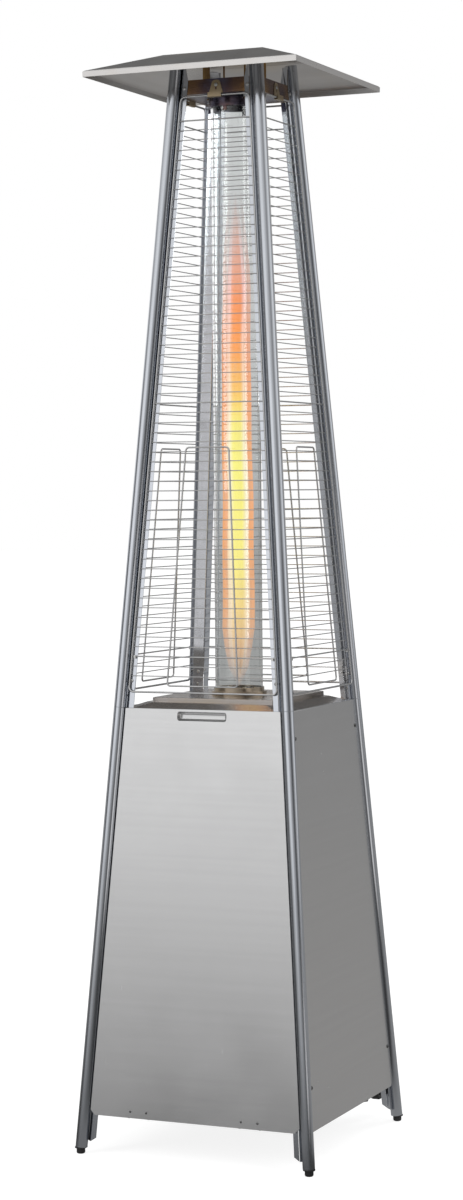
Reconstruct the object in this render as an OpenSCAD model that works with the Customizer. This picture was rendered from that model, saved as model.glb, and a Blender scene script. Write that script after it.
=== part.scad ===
// Free-standing gas patio heater: a slim four-legged pyramid with a glass flame tube,
// wire guards, a square reflector and a closed base that holds the gas bottle.
// The origin is on the floor, midway between the four feet. The door faces -Y.

/* [Overall] */
// Height from the floor to the top of the reflector
total_h = 2270; // [1850:10:2750]
// Distance from the centre line to a leg axis at floor level
base_half = 255; // [212:1:310]
// The same distance at the height of the reflector
top_half = 90; // [85:1:120]
// Height of the seam between lower and upper legs
seam_z = 923; // [760:1:1110]

/* [Legs] */
// Outer diameter of a leg tube
tube_d = 25; // [20:0.5:30]
// Wall of a leg tube
tube_wall = 1.2; // [0.8:0.1:2]
// Thickness of the folded sheet behind a tube
fold_t = 1.2; // [0.8:0.1:1.6]
// Reach of a flange from the leg axis
flange_reach = 31; // [29:0.5:34]
// Height of a foot below its tube
foot_h = 12.5; // [8:0.5:20]
// Diameter of a foot
foot_d = 18; // [14:1:24]
// Length of the sleeve inside a leg joint
sleeve_len = 130; // [100:5:160]
// Overlap of the lower leg's fold above the seam
fold_overlap = 69; // [60:1:90]

/* [Panels and door] */
// Sheet thickness of the panels and the door
panel_t = 0.8; // [0.6:0.1:1.2]
// Outer face of a panel in front of the leg axes
panel_proud = 4; // [3.5:0.1:6]
// Gap between a panel's edge and the leg tube
panel_gap = 2; // [1.5:0.1:4]
// Height of the lower edge of the panels
panel_z = 82; // [75:1:110]
// Size of the cut bottom corners of a panel
panel_chamfer = 11; // [6:1:16]
// Length of the handle slot
slot_w = 110; // [80:1:120]
// Height of the handle slot
slot_h = 19; // [16:0.5:22]
// Depth of the handle cup behind the sheet
cup_depth = 12; // [8:1:16]
// Radius of the door's hinge pins
hinge_pin_r = 1.5; // [1.2:0.1:1.8]
// Distance of a hinge bracket's middle from the centre line
hinge_x = 124; // [90:1:150]

/* [Burner] */
// Half width of the lid over the burner
lid_half = 138; // [120:1:150]
// Height of the lid
lid_h = 9; // [6:0.5:14]
// Rise of the sloping skirt from the seam to the lid
skirt_rise = 9; // [6:0.5:14]
// Radius of the burner cup
cup_r = 44; // [40:0.5:46]

/* [Flame tube] */
// Outer diameter of the glass tube
glass_d = 100; // [90:1:110]
// Wall of the glass tube
glass_t = 2.5; // [2:0.1:4]
// Height of the seat ring under the glass
seat_h = 9; // [6:0.5:12]

/* [Guards] */
// Spacing of the guard wires
wire_pitch = 20.07; // [16:0.01:26]
// Diameter of a thin guard wire
wire_d = 2; // [1.6:0.1:3]
// Diameter of the three stouter wires
stout_d = 3; // [2.4:0.1:3.4]
// Diameter of the rod round a guard
frame_rod_d = 4; // [3:0.5:5]
// Distance of the frame rod's axis from the leg axis
rod_inset = 19.5; // [18.5:0.1:22]
// Height of the handle loop on a guard
loop_h = 489; // [300:1:600]
// Half width of the handle loop at its top
loop_top = 48; // [40:1:55]
// Half width of the handle loop at its bottom
loop_bottom = 79; // [60:1:90]

/* [Top] */
// Height of the pan's walls
pan_h = 29; // [20:1:36]
// Half side of the reflector
reflector_half = 235; // [195:1:290]
// Half side of the reflector's flat middle
plateau_half = 111.5; // [100:0.5:130]
// Height of the reflector from rim to top
reflector_h = 43; // [30:1:60]
// Distance of the reflector studs from the centre lines
stud_xy = 42; // [41:0.5:46]

/* [Wheels] */
// Diameter of a wheel
wheel_d = 70; // [60:1:84]
// Width of a wheel
wheel_w = 22; // [16:1:28]
// Height of the axle
axle_z = 70; // [62:1:78]
// Radius of the axle
axle_r = 5; // [4:0.5:6]

/* [Fits] */
// Radial clearance of a turning or sliding fit
run_gap = 0.05; // [0.02:0.01:0.1]
// Clearance between parts that pass each other
free_gap = 0.3; // [0.2:0.05:0.5]

/* [Hidden] */
$fn = 48;

FRONT = 0;
BACK = 2;

// The pyramid: each face leans in by tilt, each leg by corner_tilt.
lean = (base_half - top_half) / total_h;
tilt = atan(lean);
corner_tilt = atan(lean * sqrt(2));
tube_r = tube_d / 2;
tube_bore = tube_r - tube_wall;

// Folds: the flanges lie in the face planes, the web crosses behind the tube.
upper_n = [-fold_t / 2, fold_t / 2];
lower_n = [-1.5 * fold_t, -fold_t / 2];
web_bite = 0.3;
upper_web = [tube_r - web_bite, tube_r + fold_t];
lower_web = [upper_web[1], upper_web[1] + fold_t];
lower_root = lower_web[0] * sqrt(2) - fold_t / 2;
upper_root = upper_web[1] * sqrt(2) - 1.5 * fold_t;
flange_screw = tube_r + 9.5;
panel_screw = tube_r + 11.5;
flange_z = 26;
upper_flange_z = seam_z + 32;
leg_top_z = total_h - 8;
flange_top_z = total_h - 11;
flange_cut = 45;
joint_z = seam_z + 55;
web_screws = [seam_z + 51, seam_z + 24];

// Screws: pan heads on plain shanks.
screw_r = 2;
head_r = 4;
head_h = 1.8;

// Panels
panel_n = [panel_proud - panel_t, panel_proud];
panel_edge = tube_r + panel_gap;
panel_top_z = seam_z - 1;
return_n = -2;
screw_zs = [seam_z - 57, panel_z + 87];

// Door hinge, at the sheet's lower edge
hinge_n = 0.3;
hinge_z = panel_z + 1.4;
ear_r = 2.6;
ear_t = 1.6;
bracket_half = 24;
slot_z = panel_top_z - 14.2;
rivet_z = 95;

// Burner box
tray_t = 1.2;
tray_z = seam_z + skirt_rise;
tray_half = 152;
lip_n = [lower_n[0] - tray_t, lower_n[0]];
lip_h = 22;
skirt_z = seam_z - 3.5;
magnet_u = half(skirt_z) - 68.164;
lid_top = tray_z + lid_h;
hole_r = cup_r + 6;
cup_z = tray_z - 29;
cup_top = lid_top - 3;
glass_z = lid_top + seat_h;
glass_r = glass_d / 2;

// Top
pan_z = total_h - 82;
pan_top = pan_z + pan_h;
pan_t = 1;
pan_n = upper_n[0] - 0.05;
reflector_t = 1;
under_z = total_h - reflector_t;
collar_h = 20;
glass_top = pan_z - 4;
pan_screw_z = pan_z + 12;

// Guards
guard_z = [seam_z + 32.4, total_h - 88.6];
wire_z0 = guard_z[0] + 33;
wire_count = floor((guard_z[1] - 29 - wire_z0) / wire_pitch) + 1;
stout_wires = [2, 28, wire_count - 1];
rod_n = 4.7;
rod_corner = 9;
wire_n = 2.2;
loop_d = 3.5;
loop_z = [guard_z[0] + 13.6, guard_z[0] + 13.6 + loop_h];
hook_z = wire_z0 + 2 * wire_pitch;

// Controls on the back face
control_z = seam_z - 53;
knob_u = 45;
button_u = -45;
bezel_t = 1.5;
knob_r = 22;
push_knob = 3;
push_button = 5;
bracket_n = [lip_n[0] - 1.2, lip_n[0]];
valve_half = 18;
pipe_r = 5;
pipe_n = bracket_n[0] - 27;

// Wheels
wheel_r = wheel_d / 2;
wheel_y = half(panel_z) + panel_proud + wheel_r + 3;
wheel_inset = 60;
wheel_x = base_half - wheel_inset;
arm_x = wheel_x - wheel_w / 2 - free_gap - 3;
arm_t = 3;
base_z = panel_z + 2;
base_t = 1.5;
base_rim = 26;

// Distance of a leg axis from the centre line at height z
function half(z) = base_half - lean * z;
// A point on a face: distance along it and height
function on(u, z) = [u, z / cos(tilt)];
// Points at distance d from the leg axes, from height z0 to z1
function span(d, z0, z1) = [on(d - half(z0), z0), on(half(z0) - d, z0), on(half(z1) - d, z1), on(d - half(z1), z1)];

// Frame of a face: x along it, -y outwards, z up the slope
module face(i) rotate([0, 0, 90 * i]) translate([0, -base_half, 0]) rotate([-tilt, 0, 0]) children();
// Frame of a leg: x outwards along the diagonal, z up the tube
module corner(i) rotate([0, 0, 90 * i - 45]) translate([base_half * sqrt(2), 0, 0])
  rotate([0, -corner_tilt, 0]) children();
function along(z) = z / cos(corner_tilt);

// A flat outline in a face, between two distances in front of the leg axes
module sheet(n) translate([0, -n[0], 0]) rotate([90, 0, 0]) linear_extrude(n[1] - n[0]) children();
// A round piece standing on a face at (u, z), between two distances
module peg(u, z, r, n) translate([u, -n[0], z / cos(tilt)]) rotate([90, 0, 0]) cylinder(r = r, h = n[1] - n[0]);
// A square-edged block in a face
module block(u, z, n) translate([u[0], -n[1], z[0] / cos(tilt)])
  cube([u[1] - u[0], n[1] - n[0], (z[1] - z[0]) / cos(tilt)]);
// A closed rod outline from z[0] to z[1] with half widths b and t, corners cut by c
module rod_loop(z, b, t, c, r, n) sheet([n - r, n + r]) difference() {
  polygon(grown_loop(z, b, t, c, r));
  polygon(grown_loop(z, b, t, c, -r));
}
// The same outline moved outwards by r
function grown_loop(z, b, t, c, r) = let (s = (b - t) / (z[1] - z[0]))
  loop_points([z[0] - r, z[1] + r], b + (1 + s) * r, t + (1 - s) * r, c + (2 - sqrt(2)) * r);
// Its corner points
function loop_points(z, b, t, c) = let (s = (b - t) / (z[1] - z[0])) [
  on(c - b, z[0]), on(b - c, z[0]), on(b - s * c, z[0] + c), on(t + s * c, z[1] - c),
  on(t - c, z[1]), on(c - t, z[1]), on(-t - s * c, z[1] - c), on(s * c - b, z[0] + c)];
// A thin square slab with cut corners at height z
module octagon(z, h, cut) translate([0, 0, z]) linear_extrude(0.01) intersection() {
  square(2 * h, center = true);
  rotate(45) square(cut * sqrt(2), center = true);
}
// The slope between two such slabs
module frustum(z0, h0, cut0, z1, h1, cut1) hull() {
  octagon(z0, h0, cut0);
  octagon(z1 - 0.01, h1, cut1);
}
module ring(r_out, r_in, z, h) translate([0, 0, z]) difference() {
  cylinder(r = r_out, h = h);
  translate([0, 0, -1]) cylinder(r = r_in, h = h + 2);
}

// ---- Legs ----
module leg_tube(z0, z1) translate([0, 0, along(z0)]) difference() {
  cylinder(r = tube_r, h = along(z1) - along(z0));
  translate([0, 0, -1]) cylinder(r = tube_bore, h = along(z1) - along(z0) + 2);
}
module web(d, z0, z1, reach) translate([-d[1], -reach, along(z0)])
  cube([d[1] - d[0], 2 * reach, along(z1) - along(z0)]);
module web_holes() for (z = web_screws) translate([-lower_web[1] - 1, 0, along(z)])
  rotate([0, 90, 0]) cylinder(r = screw_r, h = 8);
module flange(side, points) scale_side(side) polygon(points);
module scale_side(side) if (side > 0) children(); else mirror([1, 0]) children();

function lower_flange() = [on(half(flange_z + 8) - flange_reach, flange_z + 8),
  on(half(flange_z) - lower_root, flange_z),
  on(half(seam_z + fold_overlap) - lower_root, seam_z + fold_overlap),
  on(half(seam_z + fold_overlap) - flange_reach, seam_z + fold_overlap)];
function upper_flange() = [on(half(upper_flange_z + 11) - flange_reach, upper_flange_z + 11),
  on(half(upper_flange_z) - flange_reach + 3, upper_flange_z),
  on(half(upper_flange_z) - upper_root - 4, upper_flange_z),
  on(half(upper_flange_z + 9) - upper_root, upper_flange_z + 9),
  on(half(flange_top_z) - upper_root, flange_top_z),
  on(half(flange_top_z - flange_cut) - flange_reach, flange_top_z - flange_cut)];

module lower_leg(i) color("silver") {
  corner(i) difference() {
    union() {
      leg_tube(foot_h + 0.5, seam_z);
      web([upper_web[0], lower_web[1]], flange_z, seam_z - 1, lower_web[0] - 0.9);
      web(lower_web, seam_z - 2, seam_z + fold_overlap, lower_web[0] - 0.9);
    }
    web_holes();
  }
  for (side = [1, -1]) face(side > 0 ? i : i + 1) difference() {
    sheet(lower_n) flange(side, lower_flange());
    for (z = concat(screw_zs, [joint_z])) peg(side * (half(z) - (z == joint_z ? flange_screw : panel_screw)),
      z, screw_r, [-4, 2]);
    peg(side * (half(flange_z + 20) - flange_screw), flange_z + 20, screw_r, [-4, 2]);
  }
}

module upper_leg(i) color("silver") {
  corner(i) difference() {
    union() {
      leg_tube(seam_z, leg_top_z);
      web(upper_web, upper_flange_z + 14, flange_top_z, upper_web[1] - 0.6);
    }
    web_holes();
  }
  for (side = [1, -1]) face(side > 0 ? i : i + 1) difference() {
    sheet(upper_n) flange(side, upper_flange());
    peg(side * (half(joint_z) - flange_screw), joint_z, screw_r, [-4, 2]);
    peg(side * (half(pan_screw_z) - flange_screw - 2), pan_screw_z, screw_r, [-4, 2]);
    for (z = [pan_z - 31, pan_z - 46]) peg(side * (half(z) - flange_screw - 2), z, screw_r, [-4, 2]);
  }
}

module feet() color("black") for (i = [0 : 3]) {
  rotate([0, 0, 90 * i - 45]) translate([base_half * sqrt(2), 0, 0]) {
    cylinder(r1 = foot_d / 2 - 1.5, r2 = foot_d / 2, h = 2);
    translate([0, 0, 1.9]) cylinder(r = foot_d / 2, h = foot_h - 2.9);
  }
  corner(i) translate([0, 0, along(foot_h - 1.7)]) {
    cylinder(r = tube_r, h = along(foot_h + 0.5) - along(foot_h - 1.7));
    cylinder(r = tube_bore, h = 20);
  }
}

module leg_sleeves() color("gray") for (i = [0 : 3]) corner(i) difference() {
  translate([0, 0, along(seam_z - sleeve_len / 2)]) difference() {
    cylinder(r = tube_bore - run_gap, h = sleeve_len);
    translate([0, 0, -1]) cylinder(r = tube_bore - 1.5, h = sleeve_len + 2);
  }
  web_holes();
}

// A screw whose head rests on a face at distance n
module face_screw(u, z, n, length) {
  peg(u, z, head_r, [n, n + head_h]);
  peg(u, z, screw_r, [n - length, n + 0.1]);
}

module leg_joint_screws() color("dimgray") for (i = [0 : 3]) {
  corner(i) for (z = web_screws) translate([-lower_web[1] - head_h, 0, along(z)]) rotate([0, 90, 0]) {
    cylinder(r = head_r, h = head_h);
    cylinder(r = screw_r, h = head_h + 6);
  }
  face(i) for (side = [-1, 1]) face_screw(side * (half(joint_z) - flange_screw), joint_z, upper_n[1], 5);
}

// ---- Base and panels ----
module base_plate() color("gray") difference() {
  union() {
    intersection() {
      translate([0, 0, base_z]) linear_extrude(base_t) intersection() {
        square(2 * (half(base_z + base_t) + lower_n[0] - 0.05), center = true);
        rotate(45) square((2 * half(base_z) - lower_web[1] * sqrt(2) - 1) * sqrt(2), center = true);
      }
      translate([-base_half, 18 - half(base_z), 0]) cube([2 * base_half, 2 * base_half, 2 * base_z]);
    }
    for (i = [1 : 3]) face(i) sheet(lip_n)
      polygon(span(flange_reach - 7, base_z + 0.1, base_z + base_rim));
    face(FRONT) for (side = [-1, 1], e = [-1, 1]) {
      ear_u = side * hinge_x + e * (bracket_half - ear_t - free_gap);
      lug(ear_u - (e > 0 ? ear_t : 0));
    }
  }
  face(FRONT) for (side = [-1, 1]) hinge_bore(side, hinge_pin_r + run_gap);
}
// A base lug: a plate across the hinge axis
module lug(u) translate([u, 0, 0]) rotate([90, 0, 90]) linear_extrude(ear_t) union() {
  translate([-hinge_n, hinge_z / cos(tilt)]) circle(ear_r);
  polygon([[-hinge_n, hinge_z / cos(tilt) - ear_r], [19, base_z / cos(tilt) + 1.2], [19, base_z / cos(tilt) + 3],
    [-hinge_n, hinge_z / cos(tilt) + ear_r]]);
}
module hinge_bore(side, r) translate([side * hinge_x - bracket_half - 2, -hinge_n, hinge_z / cos(tilt)])
  rotate([0, 90, 0]) cylinder(r = r, h = 2 * bracket_half + 4);

function panel_outline() = let (zc = panel_z + panel_chamfer, foot = panel_edge + panel_chamfer) [
  on(foot - half(panel_z), panel_z), on(half(panel_z) - foot, panel_z), on(half(zc) - panel_edge, zc),
  on(half(panel_top_z) - panel_edge, panel_top_z), on(panel_edge - half(panel_top_z), panel_top_z),
  on(panel_edge - half(zc), zc)];
// A pressed sheet with folded sides and top; back is how far its sides reach in
module pressed_sheet(back) {
  zc = panel_z + panel_chamfer;
  sheet(panel_n) polygon(panel_outline());
  for (side = [-1, 1]) sheet([back, panel_n[0] + 0.01]) flange(side, [
    on(half(zc) - panel_edge - panel_t, zc), on(half(zc) - panel_edge, zc),
    on(half(panel_top_z) - panel_edge, panel_top_z), on(half(panel_top_z) - panel_edge - panel_t, panel_top_z)]);
  sheet([return_n, panel_n[0] + 0.01]) polygon(span(flange_reach + 3, panel_top_z - panel_t, panel_top_z));
}
module panel(i) color("darkgray") face(i) difference() {
  pressed_sheet(lower_n[1]);
  for (side = [-1, 1], z = screw_zs) peg(side * (half(z) - panel_screw), z, screw_r, [0, 8]);
  if (i == BACK) {
    peg(knob_u, control_z, 8, [0, 8]);
    peg(button_u, control_z, 12, [0, 8]);
  }
}
module panel_screws() color("dimgray") for (i = [1 : 3]) face(i) for (side = [-1, 1], z = screw_zs)
  face_screw(side * (half(z) - panel_screw), z, panel_n[1], 7);

// ---- Burner box ----
module burner_tray() color("gray") difference() {
  union() {
    difference() {
      skirt(0);
      skirt(tray_t);
    }
    for (i = [0 : 3]) face(i) difference() {
      sheet(lip_n) polygon(span(panel_edge + 6, skirt_z + 0.9 - lip_h, skirt_z + 0.9));
      if (i == FRONT) block([-slot_w / 2 - 8, slot_w / 2 + 8], [skirt_z - lip_h, skirt_z - 1], [lip_n[0] - 1, 1]);
    }
  }
  translate([0, 0, tray_z - 5]) cylinder(r = hole_r, h = 10);
}
module skirt(inset) {
  cut = 2 * half(skirt_z) - lower_web[1] * sqrt(2) - 2;
  h = half(skirt_z) + lower_n[0] - inset;
  frustum(skirt_z - inset, h, cut - 1.5 * inset, tray_z - inset, tray_half, 2 * tray_half - 24);
}
module burner_lid() color("rosybrown") difference() {
  translate([-lid_half, -lid_half, tray_z]) cube([2 * lid_half, 2 * lid_half, lid_h]);
  translate([tray_t - lid_half, tray_t - lid_half, tray_z - 1])
    cube([2 * (lid_half - tray_t), 2 * (lid_half - tray_t), lid_h + 1 - tray_t]);
  translate([0, 0, tray_z]) cylinder(r = cup_r + 1, h = lid_h + 1);
}
module burner_cup() color("silver") {
  ring(cup_r, cup_r - 2, cup_z, cup_top - cup_z);
  ring(hole_r + 8, cup_r - 1, tray_z, 1.2);
  ring(cup_r - 1, 6, cup_z, 2);
}
module burner_plate() color("dimgray") difference() {
  translate([0, 0, cup_top - 1.5]) cylinder(r = cup_r - 2, h = 1.5);
  for (a = [0 : 30 : 330], r = [12, 22]) rotate(a + r) translate([r, 0, cup_top - 3]) cylinder(r = 2, h = 5);
  translate([32, 8, cup_top - 3]) cylinder(r = 2.4, h = 5);
  translate([-32, 8, cup_top - 3]) cylinder(r = 3, h = 5);
}
module thermocouple() color("goldenrod") translate([32, 8, cup_top - 16]) cylinder(r = 2.4, h = 34);
module igniter_electrode() color("white") translate([-32, 8, cup_top - 16]) {
  cylinder(r = 3, h = 26);
  translate([0, 0, 25]) cylinder(r = 1, h = 9);
}
module gas_jet() color("gold") translate([0, 0, cup_z - 14]) {
  cylinder(r = 6, h = 22);
  translate([0, 0, 4]) cylinder(r = 8, h = 7, $fn = 6);
}

// ---- Gas and ignition controls, on the back ----
module control_bracket() color("gray") face(BACK) difference() {
  block([-80, 80], [control_z - 25, skirt_z - 1], bracket_n);
  peg(knob_u, control_z, 7, [bracket_n[0] - 1, 0]);
  peg(button_u, control_z, 5, [bracket_n[0] - 1, 0]);
}
module gas_valve() color("goldenrod") face(BACK) difference() {
  block([knob_u - 17, knob_u + 17], [control_z - valve_half, control_z + valve_half],
    [bracket_n[0] - 44, bracket_n[0]]);
  peg(knob_u, control_z, 6 + run_gap, [bracket_n[0] - 30, bracket_n[0] + 1]);
}
module gas_inlet() color("gold") face(BACK) {
  block([knob_u - 9, knob_u + 9], [control_z - valve_half - 5, control_z - valve_half],
    [bracket_n[0] - 32, bracket_n[0] - 14]);
  translate([knob_u, 23 - bracket_n[0], (control_z - valve_half - 25) / cos(tilt)])
    cylinder(r = 5, h = 20 / cos(tilt) + 0.5);
}
module gas_pipe() color("gold") {
  y = half(control_z) + pipe_n;
  z0 = control_z + valve_half + (pipe_n + pipe_r) * sin(tilt) + 0.15;
  z1 = cup_z - 8;
  from = [-knob_u, y, z1];
  translate([-knob_u, y, z0]) cylinder(r = pipe_r, h = z1 - z0 - 4);
  translate(from - [6.5, 6.5, 6]) cube([13, 13, 12]);
  translate(from) rotate([0, 90, atan2(-from[1], -from[0])]) cylinder(r = 4, h = norm([from[0], from[1]]) - 7.5);
}
module valve_spindle() color("silver") face(BACK) difference() {
  peg(knob_u, control_z, 6, [bracket_n[0] - 29, -1]);
  block([knob_u - 2.6, knob_u + 2.6], [control_z - 2.6, control_z + 2.6], [bracket_n[0] - 22, 1]);
}
module control_knob() color("black") face(BACK) {
  n0 = panel_proud + bezel_t + push_knob + free_gap;
  peg(knob_u, control_z, knob_r, [n0, n0 + 5]);
  peg(knob_u, control_z, knob_r - 4, [n0 + 4.9, n0 + 18]);
  block([knob_u - 3, knob_u + 3], [control_z - knob_r + 3, control_z + knob_r - 3], [n0 + 4, n0 + 21]);
  block([knob_u - 2.5, knob_u + 2.5], [control_z - 2.5, control_z + 2.5], [-16, n0 + 1]);
}
module control_bezel() color("dimgray") face(BACK) difference() {
  block([-85, 85], [control_z - 34, control_z + 34], [panel_proud, panel_proud + bezel_t]);
  peg(knob_u, control_z, 8, [0, 10]);
  peg(button_u, control_z, 9 + run_gap, [0, 10]);
}
module igniter_body() color("dimgray") face(BACK) difference() {
  peg(button_u, control_z, 11, [bracket_n[0] - 45, bracket_n[0]]);
  peg(button_u, control_z, 4 + run_gap, [bracket_n[0] - 20, bracket_n[0] + 1]);
}
module igniter_button() color("black") face(BACK) {
  peg(button_u, control_z, 9, [bracket_n[1] + push_button + 2 * free_gap, panel_proud + bezel_t + push_button + 1]);
  peg(button_u, control_z, 4, [bracket_n[0] - 12, panel_proud]);
}
module tilt_switch() color("black") face(3)
  block([-14, 14], [skirt_z - 21, skirt_z - 2], [lip_n[0] - 16, lip_n[0]]);

// ---- Flame tube ----
module tube_seat() color("dimgray") {
  ring(glass_r + 8, glass_r - 5, lid_top, seat_h - 1.5);
  ring(glass_r + 3, glass_r + free_gap, lid_top + seat_h - 2, 9);
}
module tube_gasket() color("white") ring(glass_r - 0.2, glass_r - glass_t - 1, glass_z - 1.5, 1.5);
module glass_tube() color("lightcyan", 0.35) ring(glass_r, glass_r - glass_t, glass_z, glass_top - glass_z);
module top_collar() color("saddlebrown") {
  ring(glass_r + 4, glass_r + free_gap, pan_z - pan_t - collar_h, collar_h);
  for (a = [0 : 90 : 270]) rotate(a) translate([glass_r + free_gap, -4, pan_z - pan_t - collar_h - 9])
    cube([1, 8, 10]);
}

// ---- Top ----
module pan_shape(inset, z0, z1) {
  cut = function(z) 2 * half(z) - upper_web[1] * sqrt(2) - 1.2 - 1.5 * inset;
  frustum(z0, half(z0) + pan_n - inset, cut(z0), z1, half(z1) + pan_n - inset, cut(z1));
}
module top_pan() color("sienna") difference() {
  pan_shape(0, pan_z - pan_t, pan_top);
  difference() {
    pan_shape(pan_t, pan_z - pan_t - 1, pan_top + 1);
    translate([-300, -300, 0]) cube([600, 600, pan_z]);
  }
  translate([0, 0, pan_z - 5]) cylinder(r = glass_r - 4, h = 10);
  for (i = [0 : 3]) face(i) {
    for (side = [-1, 1]) peg(side * (half(pan_screw_z) - flange_screw - 2), pan_screw_z, screw_r, [-4, 2]);
    peg(0, pan_z + 16, screw_r, [-4, 2]);
  }
  for (x = [-stud_xy, stud_xy], y = [-stud_xy, stud_xy]) translate([x, y, pan_z - 5]) cylinder(r = screw_r, h = 10);
}
module pan_screws() color("dimgray") for (i = [0 : 3]) face(i) for (side = [-1, 1])
  face_screw(side * (half(pan_screw_z) - flange_screw - 2), pan_screw_z, upper_n[1], 5);
module reflector() color("dimgray") difference() {
  frustum(total_h - reflector_h, reflector_half, 2 * reflector_half, total_h, plateau_half, 2 * plateau_half);
  frustum(total_h - reflector_h - reflector_t - 0.1, reflector_half, 2 * reflector_half, under_z,
    plateau_half - reflector_t / 3, 2 * plateau_half);
}
module reflector_studs() color("silver") for (x = [-stud_xy, stud_xy], y = [-stud_xy, stud_xy])
  translate([x, y, pan_z - 7]) cylinder(r = screw_r, h = under_z - pan_z + 7);
module reflector_nuts() color("gray") for (x = [-stud_xy, stud_xy], y = [-stud_xy, stud_xy], z = [0, -4.2])
  translate([x, y, pan_z + z]) difference() {
    cylinder(r = 4, h = 3.2, $fn = 6);
    translate([0, 0, -1]) cylinder(r = screw_r, h = 6);
  }
module reflector_straps() color("peru") for (side = [-1, 1]) translate([side * 64, 0, 0]) {
  translate([-8, -0.75, pan_z]) cube([16, 1.5, under_z - pan_z]);
  translate([-8, -0.75, pan_z]) cube([16, 14, 1.5]);
  translate([-8, -0.75, under_z - 1.5]) cube([16, 14, 1.5]);
}

// ---- Guards ----
module guard(i) color("lightgray") face(i) {
  r = frame_rod_d / 2;
  rod_loop(guard_z, half(guard_z[0]) - rod_inset, half(guard_z[1]) - rod_inset, rod_corner, r, rod_n);
  for (k = [0 : wire_count - 1]) {
    z = wire_z0 + k * wire_pitch;
    u = half(z) - rod_inset;
    stout = len([for (s = stout_wires) if (s == k) s]) > 0;
    wire_r = (stout ? stout_d : wire_d) / 2;
    block([-u, u], [z - wire_r, z + wire_r], [wire_n - wire_r, wire_n + wire_r]);
  }
  rod_loop(loop_z, loop_bottom, loop_top, rod_corner, loop_d / 2, rod_n);
}
module guard_clips() color("tan") for (i = [0 : 3]) face(i) {
  rod_z = guard_z[1];
  n0 = upper_n[0];
  lip = rod_n + frame_rod_d / 2 + free_gap;
  difference() {
    sheet([n0, n0 + 1]) polygon([on(-15, rod_z - 3.3), on(15, rod_z - 3.3), on(15, rod_z + 7),
      on(8, pan_top - 3), on(-8, pan_top - 3), on(-15, rod_z + 7)]);
    peg(0, pan_z + 16, 3.2, [-2, 2]);
    block([-1.6, 1.6], [pan_z + 7, pan_z + 16], [-2, 2]);
  }
  block([-15, 15], [rod_z - 3.3, rod_z - 2.3], [n0 + 0.9, lip + 1]);
  block([-15, 15], [rod_z - 2.4, rod_z + 7], [lip, lip + 1]);
}
module clip_screws() color("silver") for (i = [0 : 3]) face(i) face_screw(0, pan_z + 16, upper_n[0] + 1, 5);
module guard_hooks() color("gray") for (i = [0 : 3]) face(i) for (side = [-1, 1]) {
  u = side * (half(hook_z) - flange_screw - 4);
  r = stout_d / 2;
  block([u - 2, u + 2], [hook_z - r - 3.3, hook_z - r - 0.3], [upper_n[1], wire_n + r + 1.5]);
  block([u - 2, u + 2], [hook_z - r - 0.4, hook_z + 2], [wire_n + r + free_gap, wire_n + r + 1.5]);
}

// ---- Door ----
module door_panel() color("gainsboro") face(FRONT) difference() {
  pressed_sheet(lower_n[1] + 0.4);
  block([-slot_w / 2 + slot_h / 2, slot_w / 2 - slot_h / 2], [slot_z - slot_h / 2, slot_z + slot_h / 2], [1, 6]);
  for (side = [-1, 1]) peg(side * (slot_w - slot_h) / 2, slot_z, slot_h / 2, [1, 6]);
  for (side = [-1, 1], e = [-1, 1]) peg(side * hinge_x + e * 18, rivet_z, screw_r, [1, 6]);
}
module door_handle_cup() color("silver") face(FRONT) difference() {
  block([-slot_w / 2 - 1, slot_w / 2 + 1], [slot_z - slot_h / 2 - 1, slot_z + slot_h / 2 + 1],
    [panel_n[0] - cup_depth, panel_n[0]]);
  block([-slot_w / 2, slot_w / 2], [slot_z - slot_h / 2, slot_z + slot_h / 2], [panel_n[0] - cup_depth + 1, 9]);
}
module door_brackets() color("gray") face(FRONT) for (side = [-1, 1]) difference() {
  union() {
    block([side * hinge_x - bracket_half, side * hinge_x + bracket_half], [hinge_z + ear_r + 0.8, rivet_z + 7],
      [panel_n[0] - ear_t, panel_n[0]]);
    for (e = [-1, 1]) translate([side * hinge_x + e * bracket_half - (e > 0 ? ear_t : 0), 0, 0])
      rotate([90, 0, 90]) linear_extrude(ear_t) union() {
        translate([-hinge_n, hinge_z / cos(tilt)]) circle(ear_r - 0.1);
        polygon([[-panel_n[0], (hinge_z + 1.5) / cos(tilt)], [-hinge_n, hinge_z / cos(tilt)],
          [-hinge_n + ear_r - 0.2, hinge_z / cos(tilt) + 0.8], [-panel_n[0] + ear_t, (rivet_z + 7) / cos(tilt)],
          [-panel_n[0], (rivet_z + 7) / cos(tilt)]]);
      }
  }
  hinge_bore(side, hinge_pin_r);
  for (e = [-1, 1]) peg(side * hinge_x + e * 18, rivet_z, screw_r, [0, 6]);
}
module door_pins() color("silver") face(FRONT) for (side = [-1, 1]) hinge_bore(side, hinge_pin_r);
module door_rivets() color("silver") face(FRONT) for (side = [-1, 1], e = [-1, 1]) {
  peg(side * hinge_x + e * 18, rivet_z, screw_r, [panel_n[0] - ear_t - 0.2, panel_n[1] + 0.1]);
  peg(side * hinge_x + e * 18, rivet_z, screw_r + 1.4, [panel_n[1], panel_n[1] + 0.8]);
  peg(side * hinge_x + e * 18, rivet_z, screw_r + 0.8, [panel_n[0] - ear_t - 1, panel_n[0] - ear_t]);
}
module door_magnets() color("black") face(FRONT) for (side = [-1, 1])
  block([side * magnet_u - 15, side * magnet_u + 15], [skirt_z - 20, skirt_z - 5], [lip_n[1], panel_n[0] - free_gap]);

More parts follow.
